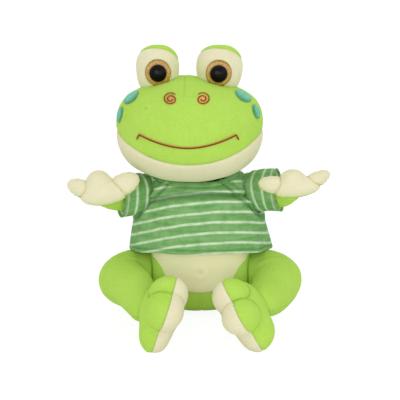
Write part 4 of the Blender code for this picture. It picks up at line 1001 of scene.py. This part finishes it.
def chestCrease(z, turn):  # height over the crease that ends the roll of cloth under the chin
    sag = chestFolds["sag"] * np.sin(turn) ** 2
    return z - chestFolds["height"] + sag - chestFolds["lean"] * np.sin(turn)


def armpitTug(z, turn):  # creases that fan down and inward from the armpits
    pull = np.abs(np.sin(turn)) - tugs["aside"] - (tugs["top"] - z) * tugs["slant"]
    crease = np.sin(pull * tugs["count"]) * bell(pull, tugs["width"])
    return crease * ramp(np.cos(turn), *tugs["front"]) * ramp(z, *tugs["heights"])


def shirtSurface(part, turn, inset):
    # rings from the hem (0) to the neck (1); each widens from the neck as a power of its drop,
    # with folds that grow downward
    flat, rise = 2 / headForm["sidePower"], collarRise(turn)
    hem = shirt["sideHem"] + (shirt["hem"] - shirt["sideHem"]) * np.clip(np.cos(turn), 0, None) ** flat
    z = hem + (shirt["top"] + rise - hem) * part
    peak = shirt["peak"] + rise
    drop = ((peak - z) / (peak - shirt["sideHem"])) ** shirt["flarePower"]
    width = shirt["neckWidth"] + shirt["flareWidth"] * drop
    front = shirt["neckFront"] + shirt["flareFront"] * drop
    back = shirt["neckBack"] + shirt["flareBack"] * drop
    depth = np.where(np.cos(turn) < 0, back, front)
    fold = shirt["foldDepth"] * drop**3 * np.cos(shirt["folds"] * turn + shirt["foldPhase"])
    crease = chestCrease(z, turn)
    chest = chestFolds["roll"] * bell(crease - chestFolds["rollUp"], chestFolds["rollWidth"])
    chest = chest - chestFolds["groove"] * bell(crease, chestFolds["width"])
    chest = chest + chestFolds["under"] * bell(crease + chestFolds["underDown"], chestFolds["underWidth"])
    chest = chest * ramp(np.cos(turn), *chestFolds["front"])
    ripple = shirt["ripple"] * np.sin(shirt["ripples"] * turn + shirt["rippleSlant"] * z)
    ripple = ripple * ramp(drop, *shirt["rippleDrop"])
    out = fold + chest + tugs["depth"] * armpitTug(z, turn) + ripple - inset
    x = (width + out) * signedPower(np.sin(turn), flat) + shirt["lean"] * (1 - drop)
    return np.stack([x, -(depth + out) * signedPower(np.cos(turn), flat), z], -1)


def stripeNumber(grid):  # whole numbers fall on the middles of the pale stripes
    x, y, z = np.moveaxis(grid, -1, 0)
    # follows y in front and stays level round the back
    y = -stripes["ease"] * np.log1p(np.exp(-y / stripes["ease"]))
    number = stripes["start"] + stripes["perMetre"] * z + stripes["slope"] * x + stripes["droop"] * x**2
    return number + stripes["dip"] * y + stripes["wander"] * rumple(grid, 0.035, 23)


def makeShirt():
    # the outer layer from hem to neck and the inner one back down, with a hole cut for each arm
    turn = np.pi + ringTurns(shirt["cols"])
    part = 1 - (1 - np.linspace(0, 1, shirt["rows"]))[:, None] ** shirt["crowding"]
    turns = np.broadcast_to(turn, (len(part), len(turn)))
    away = alongRows(shirtSurface(part, turns, 0))
    stitch = bell(away - shirt["stitch"], shirt["stitchWidth"])
    outer = shirtSurface(part, turns, shirt["stitchDepth"] * (stitch + bell(away, shirt["edgeWidth"])))
    inner = shirtSurface(part[::-1], turns, shirt["cloth"])
    grid = np.concatenate([outer, inner])
    for side in sides.values():  # tucked in at the armhole seam and puffed out round it
        reach, way = grid - mirrored(shoulder["place"], side), armWay(side)
        along = reach @ way
        fromArm = np.linalg.norm(reach - along[..., None] * way, axis=-1)
        puff = bell(fromArm - armholes["puff"], armholes["puffWidth"])
        puff = puff - armholes["seamShare"] * bell(fromArm - armholes["seam"], armholes["seamWidth"])
        grid += unit(grid * (1, 1, 0)) * (sleeve["puff"] * puff * (along > 0))[..., None]
    bothTurns, z = np.concatenate([turns, turns]), grid[..., 2]
    # painted shade along the chest crease and the armpit creases, put in the seam mark
    shade = chestFolds["mark"] * bell(chestCrease(z, bothTurns), chestFolds["width"])
    shade = shade * ramp(-grid[..., 1], *chestFolds["shadeFront"])
    shade = np.maximum(shade, tugs["mark"] * ramp(-armpitTug(z, bothTurns), *tugs["shadeRange"]))
    seam = np.maximum(np.concatenate([stitch, np.zeros_like(stitch)]), shade)
    body = gridPiece("shirtBody", grid, closed=True, marks={"stripe": stripeNumber(grid), "seam": seam})
    holes = []
    for word, side in sides.items():
        start = mirrored(shoulder["place"], side)
        ends = [start, start + armWay(side) * armholes["length"]]
        holes.append(gridPiece(word + "Armhole", stuffedTube(ends, armholes["ends"], 56, 6)[0]))
    dress(cutAway(body, *holes), "shirt_velour", "torso", "shirt_body")


def makeNeckband():  # a narrow folded rib that stands against the chin, higher and leaning in at the nape
    turn = np.pi + ringTurns(shirt["cols"])
    nape = neckband["nape"] * ramp(-np.cos(turn), *neckband["napeSpan"])
    wavy = sum(depth * np.sin(count * turn + phase) for depth, count, phase in neckband["waves"])
    lean = neckband["lean"] + wavy + nape
    rows = []
    for inset, up in neckband["ring"]:
        edge = shirtSurface(np.ones_like(turn), turn, inset + up * lean)
        edge[:, 2] += neckband["gap"] + (neckband["height"] + nape) * up
        rows.append(edge)
    band = gridPiece("shirtNeckband", np.stack(rows), closed=True, marks={"stripe": 0.5, "seam": 0.0})
    dress(band, "shirt_velour", "torso", "shirt_neckband")
    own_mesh(band)


def makeSleeve(word, side):
    # rings along the arm whose radius is scaled by gathers, furls and the cuff's hem
    start, way = mirrored(shoulder["place"], side), armWay(side)
    radius = smoothPath(np.array(sleeve["radii"]), sleeve["steps"])
    station = np.linspace(*sleeve["ends"], len(radius))[:, None]
    around, folds = ringTurns(sleeve["cols"]), sleeveFolds
    path = start + station * way + (0, 0, sleeve["lifts"][side]) * ramp(station, *sleeve["liftSpan"])
    gather = np.sin(folds["gathers"] * around + folds["gatherPhase"] * side)
    gather = gather * bell(station - folds["gatherAt"], folds["gatherWidth"])
    flute = np.sin(folds["flutes"] * around + folds["fluteTwist"] * station + side)
    flute = flute * ramp(station, *folds["fluteSpan"])
    bend = folds["furlBend"] * np.sin(around + folds["furlPhase"] * side)
    furl = np.sin(station * folds["furls"] + bend) * bell(station - folds["furlAt"], folds["furlWidth"])
    scale = 1 + folds["gather"] * gather + folds["flute"] * flute
    scale = scale + folds["furl"] * np.maximum(furl, folds["furlFloor"])
    hem = bell(station - sleeve["hem"], sleeve["hemWidth"]) + 0 * around
    axis = path[:, None]
    outer = pathRings(path, radius[:, 0], radius[:, 0], sleeve["cols"], (0, 0, 1))
    outer = axis + (outer - axis) * (scale - sleeve["hemDepth"] * hem)[..., None]
    # cuff turned outward
    slant = sleeve["slant"] * ramp(station, *sleeve["slantSpan"]) * (axis[..., 1] - outer[..., 1])
    outer = outer + way * slant[..., None]
    # cloth crowded round the arm inside the cuff
    bunch = sleeve["bunch"] * bell(station - sleeve["bunchAt"], sleeve["bunchWidth"])
    inner = axis + (outer - axis) * (1 - shirt["cloth"] / radius - bunch)[..., None]
    grid = np.concatenate([outer, inner[::-1]])
    number = np.concatenate([station, station[::-1]]) / sleeve["pitch"] + sleeve["offset"]
    shade = folds["mark"] * ramp(-furl, *folds["shadeRange"])
    seam = np.concatenate([np.maximum(hem, shade), 0 * hem])
    piece = gridPiece(word + "Sleeve", grid, closed=True, marks={"stripe": number, "seam": seam})
    dress(piece, "shirt_velour", None, word + "_sleeve")
    first, last = (tuple(start + way * reach) for reach in sleeve["blend"])
    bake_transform(piece)


# arms and hands: a stuffed tube to the wrist, and a three-fingered mitt with a cream palm
arm = dict(radii=(0.0165, 0.0165, 0.0160, 0.0125),
           wrists={1: (-0.006, -0.003, -0.017), -1: (-0.001, -0.003, -0.017)}, bow=(0.002, 0.0, -0.001),
           cols=72, steps=14, wrinkle=0.022, wrinkles=60, bendTurn=2.2)
# a lobe is (x, y, the way its length points, half-length, half-width), then its thickness before
# and behind the seam
hand = dict(centres={1: (0.1095, -0.070, 0.1685), -1: (-0.1105, -0.070, 0.1625)}, lean=np.radians(25),
            roll=np.radians(7), heights={1: 0.87, -1: 1.1},
            palm=((0.0, -0.0025, 0.0, 0.028, 0.013), (0.0145, 0.015)),
            outer=((0.0232, 0.0042, np.radians(25), 0.0185, 0.0097), (0.0105, 0.0115)),
            inner=((-0.0232, 0.0035, np.radians(163), 0.0205, 0.0118), (0.0105, 0.0115)),
            middle=((-0.004, 0.0065, np.radians(90), 0.015, 0.0155), (0.0175, 0.014)))
# legs and feet: a thigh and shin bent at the knee, and a three-toed foot with a cream sole
leg = dict(knee=(0.0905, -0.046, 0.0462), bulge=(0.003, 0.005, 0.004),
           radii=(0.034, 0.031, 0.0294, 0.0247, 0.0190),
           shins={1: (0.082, -0.081, 0.042), -1: (-0.077, -0.080, 0.0465)}, flat=0.0573,
           corner=0.14, cornerWidth=0.004, cols=96, steps=34, root=0.006, rootReach=0.0463,
           pad=(0.004, 0.0285, 9), padGap=0.0005, bulgeAt=0.45, seamTurn=np.pi * 0.62, seamShare=0.5,
           seamWidth=0.022, foldShade=0.8, seamDepth=0.02, swell=0.018, seamFade=0.8, behind=(-0.01, 0.01))
kneeCloth = dict(part=0.465, inward=np.radians(62), lean=0.015, fold=0.24, foldWidth=0.011, ridge=0.07,
                 ridgeAfter=0.040, ridgeWidth=0.040, knobs={1: 0.050, -1: 0.020}, knobWidth=0.050,
                 knobTurn=np.radians(152), wrinkle=0.008, wrinkles=170, wrinkleAt=0.40, wrinkleWidth=0.07)
foot = dict(centres={1: (0.048, -0.130, 0.0385), -1: (-0.0405, -0.130, 0.0385)},
            tilts={1: np.radians(30.5), -1: np.radians(18.7)}, soles={1: 0.0235, -1: 0.0205}, top=0.0270,
            heel=(0.0, -0.002, 0.0, 0.036, 0.033), lower=(-0.0215, 0.0115, np.radians(148), 0.0245, 0.016),
            upper=(0.0235, 0.0085, np.radians(25), 0.0245, 0.0175),
            middles={1: (0.0055, 0.027, np.radians(90), 0.021, 0.0195),
                     -1: (0.0110, 0.026, np.radians(90), 0.021, 0.0225)},
            shares={1: (0.95, 0.76), -1: (0.95, 0.88)}, lowerShares={1: (0.78, 0.90), -1: (0.78, 0.74)},
            ankle=np.array((-0.007, -0.018, -0.022)), socket=0.0206, socketFlare=(1, 1.25, 1.6),
            socketEnds=(0.02, 0.05))
stuffing = dict(cols=250, rows=72, merge=0.007, creaseWidth=0.0018, fill=0.0035, roll=0.0007,
                rollWidth=0.0016, puckers=58, pucker=0.0003, puckerAt=0.003, puckerWidth=0.003,
                floor=0.0002, rises=(0.004, 1.53), seamMark=0.15, seamWidth=0.0009, creaseShade=0.6,
                creaseShadeShare=0.7)
# how softly two lobes meet, the depth of the crease between them, and where on a hand the crease fades out
sewnLooks = dict(palm=(0.0012, 0.0026, (-0.62, -0.15)), back=(0.0012, 0.0010, (-0.62, -0.15)),
                 sole=(0.0030, 0.0010, (-2, -1)), top=(0.0008, 0.0016, (-2, -1)))


def lobeReach(turn, rise, groups):
    # ellipsoids seen from one point: along each direction the reach of the farthest group, and its lead on
    # the next; the ellipsoids of one group run into each other, with the step between them rounded off
    way = np.stack([np.cos(rise) * np.sin(turn), np.cos(rise) * np.cos(turn), np.sin(rise)], -1)
    reaches = []
    for group in groups:
        total = 0
        for (x, y, angle, length, width), thickness in group:
            cosine, sine = np.cos(angle), np.sin(angle)
            ray = np.stack([(way[..., 0] * cosine + way[..., 1] * sine) / length,
                            (way[..., 1] * cosine - way[..., 0] * sine) / width,
                            way[..., 2] / np.where(rise > 0, *thickness)], -1)
            centre = np.array(((x * cosine + y * sine) / length, (y * cosine - x * sine) / width, 0.0))
            toward, size = ray @ centre, np.sum(ray * ray, -1)
            square = toward**2 - size * (centre @ centre - 1)
            reach = np.where(square > 0, (toward + np.sqrt(np.clip(square, 0, None))) / size, 0)
            near = np.clip(stuffing["merge"] - np.abs(total - reach), 0, None)
            total = np.maximum(total, reach) + near**2 / (4 * stuffing["merge"])
        reaches.append(total)
    reaches = np.sort(np.stack(reaches), 0)
    return way, reaches[-1], reaches[-1] - reaches[-2]


def lobedForm(groups, height, look):
    # the groups as one skin, eased where two meet and pulled in along their crease
    ease, crease, fade = sewnLooks[look]

    def surface(turn, rise):
        way, reach, lead = lobeReach(turn, rise, groups)
        kept = ramp(way[..., 1], *fade)
        soft = ease + stuffing["fill"] * (1 - kept)
        reach = reach + soft * np.log1p(np.exp(-lead / soft))
        reach = reach - crease * kept * bell(lead, stuffing["creaseWidth"])
        return way * reach[..., None] * (1, height, 1)

    return surface


def stuffedHalf(name, groups, height, axes, centre, look):
    # one half of a hand or foot, from the seam round its edge to the middle of its face,
    # rolled in and puckered at the seam
    face = 1 if look in ("palm", "sole") else -1
    rise = np.linspace(*stuffing["rises"], stuffing["rows"])[:, None] * face
    turns, rises = np.broadcast_arrays(np.pi + ringTurns(stuffing["cols"]), rise)
    surface = lobedForm(groups, height, look)
    away = alongRows(surface(turns, rises))
    pucker = stuffing["pucker"] * np.sin(stuffing["puckers"] * turns)
    pucker = pucker * bell(away - stuffing["puckerAt"], stuffing["puckerWidth"])
    # this surface's normal points inward
    sunk = stuffing["roll"] * bell(away, stuffing["rollWidth"]) - pucker
    grid = lifted(surface, turns, rises, sunk) @ axes + centre
    grid[..., 2] = np.maximum(grid[..., 2], stuffing["floor"])  # a foot stands on the floor
    way, _, lead = lobeReach(turns, rises, groups)
    # painted shade along the creases between lobes, faded out where the crease fades
    crease = bell(lead, stuffing["creaseWidth"] * stuffing["creaseShadeShare"])
    crease = stuffing["creaseShade"] * (crease * ramp(way[..., 1], *sewnLooks[look][2]))
    line = stuffing["seamMark"] * bell(away, stuffing["seamWidth"])
    return gridPiece(name, grid, marks={"seam": np.maximum(line, crease)})


def handAxes():
    # across, along and out of the palm, which leans back and is rolled about its own outward axis
    out = np.array((0, -np.cos(hand["lean"]), np.sin(hand["lean"])))
    up = np.array((0, np.sin(hand["lean"]), np.cos(hand["lean"])))
    across, cosine, sine = np.array((1.0, 0, 0)), np.cos(hand["roll"]), np.sin(hand["roll"])
    rolled = [cosine * way + sine * np.cross(out, way) for way in (across, up)]
    return np.stack([*rolled, out])


def footAxes(side):  # up the foot, toward its toes' fronts, and out of its sole
    cosine, sine = np.cos(foot["tilts"][side]), np.sin(foot["tilts"][side])
    return np.array(((-sine * side, 0, cosine), (0, -1, 0), (-cosine * side, 0, -sine)))


def makeArm(word, side):  # from the shoulder to the wrist, wrinkled in the bend of the elbow
    axes, centre = handAxes(), np.array(hand["centres"][side])
    wrist, elbow = np.array(arm["wrists"][side]) @ axes + centre, np.array(shoulder["elbows"][side])
    bow = (elbow + wrist) / 2 + mirrored(arm["bow"], side)
    places = [mirrored(shoulder["place"], side), elbow, bow, wrist]
    grid, path = stuffedTube(places, arm["radii"], arm["cols"], arm["steps"])
    inBend = np.cos(ringTurns(arm["cols"]) - arm["bendTurn"]).clip(0) ** 2
    bend = np.sin(np.linspace(0, arm["wrinkles"], len(path)))[:, None] * inBend
    grid = path[:, None] + (grid - path[:, None]) * (1 - arm["wrinkle"] * bend)[..., None]
    piece = gridPiece(word + "Arm", grid, marks={"seam": 0.0})
    dress(piece, "green_plush", word + "_arm", word + "_arm")

    groups = [[hand["palm"], hand["middle"]]]
    for (x, y, angle, length, width), thickness in (hand["outer"], hand["inner"]):
        groups.append([((x * side, y, angle if side > 0 else np.pi - angle, length, width), thickness)])
    halves = (("Palm", "palm", "cream_plush", [word + "_palm"]), ("HandBack", "back", "green_plush", []))
    for name, look, slot, nodes in halves:
        piece = stuffedHalf(word + name, groups, hand["heights"][side], axes, centre, look)
        dress(piece, slot, word + "_arm", *nodes)


def anklePlace(side):  # given in the foot's own axes, turned into the frame's
    return foot["ankle"] @ footAxes(side) + foot["centres"][side]


def kneeFolds(part, around, side):
    # a fold inside the knee with a ridge beyond it, a knob outside it, and wrinkles
    # inward is 0 between the top and the side toward the body
    inward = (around * side + np.pi) % tau - np.pi - kneeCloth["inward"]
    zone = ramp(np.cos(inward + 0.1), 0.2, 0.9)
    past = part - kneeCloth["part"]
    lean = kneeCloth["lean"] * inward
    fold = bell(past - lean, kneeCloth["foldWidth"]) * zone
    ridge = bell(past - kneeCloth["ridgeAfter"] - lean, kneeCloth["ridgeWidth"]) * zone
    knob = bell(past, kneeCloth["knobWidth"]) * ramp(np.cos(inward + kneeCloth["knobTurn"]), 0.5, 1.0)
    wrinkle = bell(part - kneeCloth["wrinkleAt"], kneeCloth["wrinkleWidth"])
    wrinkle = wrinkle * np.sin(part * kneeCloth["wrinkles"] + 2 * around)
    wrinkle = kneeCloth["wrinkle"] * wrinkle * ramp(np.cos(around + 0.7 * side), 0.2, 0.9)
    swell = kneeCloth["ridge"] * ridge - kneeCloth["fold"] * fold + kneeCloth["knobs"][side] * knob
    return fold, wrinkle + swell


def makeLeg(word, side):
    # thigh, knee and shin as one tube, flat toward the torso, its end swelling into the torso's dish
    root, knee = hip["place"] - (leg["root"], 0, 0), np.array(leg["knee"])
    thigh = hip["place"] + (knee - hip["place"]) * leg["bulgeAt"] + leg["bulge"]
    places = [mirrored(place, side) for place in (root, thigh, knee)]
    places += [leg["shins"][side], anklePlace(side)]
    grid, path = stuffedTube(places, leg["radii"], leg["cols"], leg["steps"], roundStart=False)
    part, around = np.linspace(0, 1, len(path))[:, None], ringTurns(leg["cols"])  # 0 is the top of the leg
    fold, swell = kneeFolds(part, around, side)
    seam = leg["seamShare"] * bell(np.sin((around + leg["seamTurn"] * side) / 2), leg["seamWidth"])
    # painted shade in the knee's fold joins the leg's seam line
    seam = np.maximum(seam, leg["foldShade"] * fold)
    swell = swell - leg["seamDepth"] * seam + leg["swell"] * rumple(grid, 0.05, 17)
    grid = path[:, None] + (grid - path[:, None]) * (1 + swell)[..., None]
    nearBody = (fromHip(grid) < leg["rootReach"]) & (part < 0.5)
    grid[..., 0] = np.where(nearBody, side * np.maximum(grid[..., 0] * side, leg["flat"]), grid[..., 0])
    soft = leg["corner"] * bell(np.abs(grid[..., 0]) - leg["flat"], leg["cornerWidth"]) * (part < 0.3)
    soft = soft * ramp(grid[..., 1] - hip["place"][1], *leg["behind"])
    # the root's edge rounded off behind
    grid[..., 1:] += (hip["place"][1:] - grid[..., 1:]) * soft[..., None]
    spoke = unit((grid[0] - mirrored(hip["place"], side)) * (0, 1, 1))
    pad = []
    for reach in np.linspace(*leg["pad"]):
        bulge = hip["dish"] * (1 - ramp(reach + leg["padGap"], *hip["dishEdge"]))
        pad.append((side * (leg["flat"] - bulge), *hip["place"][1:]) + spoke * reach)
    seam = np.concatenate([np.zeros((len(pad), len(around))), seam * leg["seamFade"]])
    piece = gridPiece(word + "Leg", np.concatenate([np.stack(pad), grid]), marks={"seam": seam})
    dress(piece, "green_plush", word + "_leg", word + "_leg")


def makeFoot(word, side):
    # heel and lower toe run together, the other two toes are creased off; the top has an ankle seat
    thickness = np.array((foot["soles"][side], foot["top"]))
    slim = thickness * foot["shares"][side]
    groups = [[(foot["heel"], thickness), (foot["lower"], thickness * foot["lowerShares"][side])],
              [(foot["upper"], slim)], [(foot["middles"][side], slim)]]
    halves = (("FootSole", "sole", "cream_plush", "_foot_sole"),
              ("FootTop", "top", "green_plush", "_foot_top"))
    for name, look, slot, node in halves:
        piece = stuffedHalf(word + name, groups, 1.0, footAxes(side), np.array(foot["centres"][side]), look)
        if look == "top":
            ankle = anklePlace(side)
            up = unit(np.array(leg["shins"][side]) - ankle)
            places = [ankle, *(ankle + up * length for length in foot["socketEnds"])]
            socket = stuffedTube(places, np.array(foot["socketFlare"]) * foot["socket"], 56, 6)[0]
            cutAway(piece, gridPiece(word + "AnkleCut", socket))
        dress(piece, slot, word + "_foot", word + node)


for word, side in sides.items():
    makeArm(word, side)
    makeLeg(word, side)
    makeFoot(word, side)
makeShirt()
makeNeckband()
for word, side in sides.items():
    makeSleeve(word, side)
print("limbs and shirt done")


# stage: pale floor, white surround, soft lamps and the photograph's viewpoint
stage = dict(aim=(0, 0, 0.15), camera=(0, -1.2, 0.454), pitch=np.radians(75), sensor=36,
             lens=1023 / 400 * 36, world=0.76, floorGlow=0.82, glow=1.12)
floorCorners = [(-20, -3, 0), (20, -3, 0), (20, 40, 0), (-20, 40, 0)]
# place, size and power of each lamp
lamps = dict(keyLamp=((-0.45, -1.8, 0.5), 0.8, 4.6), fillLamp=((1.0, -1.2, 0.7), 1.0, 1.8),
             topLamp=((0.1, 0.2, 1.6), 1.2, 2.0), frontLamp=((0.2, -1.9, 0.12), 1.2, 6.2))


def addObject(name, data):  # a new object linked into the scene
    made = bpy.data.objects.new(name, data)
    bpy.context.scene.collection.objects.link(made)
    return made


def makeFloor():  # pale floor that glows white where the camera sees it directly
    mesh = bpy.data.meshes.new("floor")
    mesh.from_pydata(floorCorners, [], [(0, 1, 2, 3)])
    addObject("floor", mesh)
    paint = Paint("paleFloor", {"Base Color": (0.9, 0.9, 0.9, 1), "Roughness": 0.9,
                                "Specular IOR Level": 0.0})
    seen = paint.node("ShaderNodeLightPath", {}, {}, "Is Camera Ray") * stage["floorGlow"]
    glow = paint.node("ShaderNodeEmission", {}, {"Color": (1, 1, 1, 1), "Strength": stage["glow"]})
    plain = Wire(paint, paint.shader.outputs[0])
    mixed = paint.node("ShaderNodeMixShader", {}, {0: seen, 1: plain, 2: glow})
    paint.plug(mixed, paint.tree.nodes["Material Output"].inputs["Surface"])
    mesh.materials.append(paint.material)


def makeSurround():  # full white to camera, glossy and transmission rays, and dimmer as a light
    world = bpy.data.worlds.new("surround")
    bpy.context.scene.world = world
    world.use_nodes = True
    tree = world.node_tree
    path, back = tree.nodes.new("ShaderNodeLightPath"), tree.nodes["Background"]
    most = [tree.nodes.new("ShaderNodeMath") for i in range(2)]
    spread = tree.nodes.new("ShaderNodeMapRange")
    for item, ends in zip(most, (("Is Camera Ray", "Is Glossy Ray"), (None, "Is Transmission Ray"))):
        item.operation = "MAXIMUM"
        for i, key in enumerate(ends):
            tree.links.new(path.outputs[key] if key else most[0].outputs[0], item.inputs[i])
    spread.inputs[3].default_value = stage["world"]
    tree.links.new(most[1].outputs[0], spread.inputs[0])
    tree.links.new(spread.outputs[0], back.inputs["Strength"])
    back.inputs["Color"].default_value = (1, 1, 1, 1)


def makeLamps():  # area lamps turned to face the aim
    for name, (place, size, power) in lamps.items():
        light = bpy.data.lights.new(name, "AREA")
        light.size, light.energy = size, power
        lamp = addObject(name, light)
        lamp.location = place
        towards = unit(np.array(stage["aim"]) - place)
        lamp.rotation_euler = (np.arccos(-towards[2]), 0, np.arctan2(towards[1], towards[0]) - np.pi / 2)


def makeViewpoint():  # the photograph's camera, pitched down from level
    data = bpy.data.cameras.new("viewpoint")
    data.lens, data.sensor_width = stage["lens"], stage["sensor"]
    camera = addObject("viewpoint", data)
    camera.location, camera.rotation_euler = stage["camera"], (stage["pitch"], 0, 0)
    bpy.context.scene.camera = camera
    bpy.context.scene.view_settings.view_transform = "Standard"


makeFloor()
makeSurround()
makeLamps()
makeViewpoint()
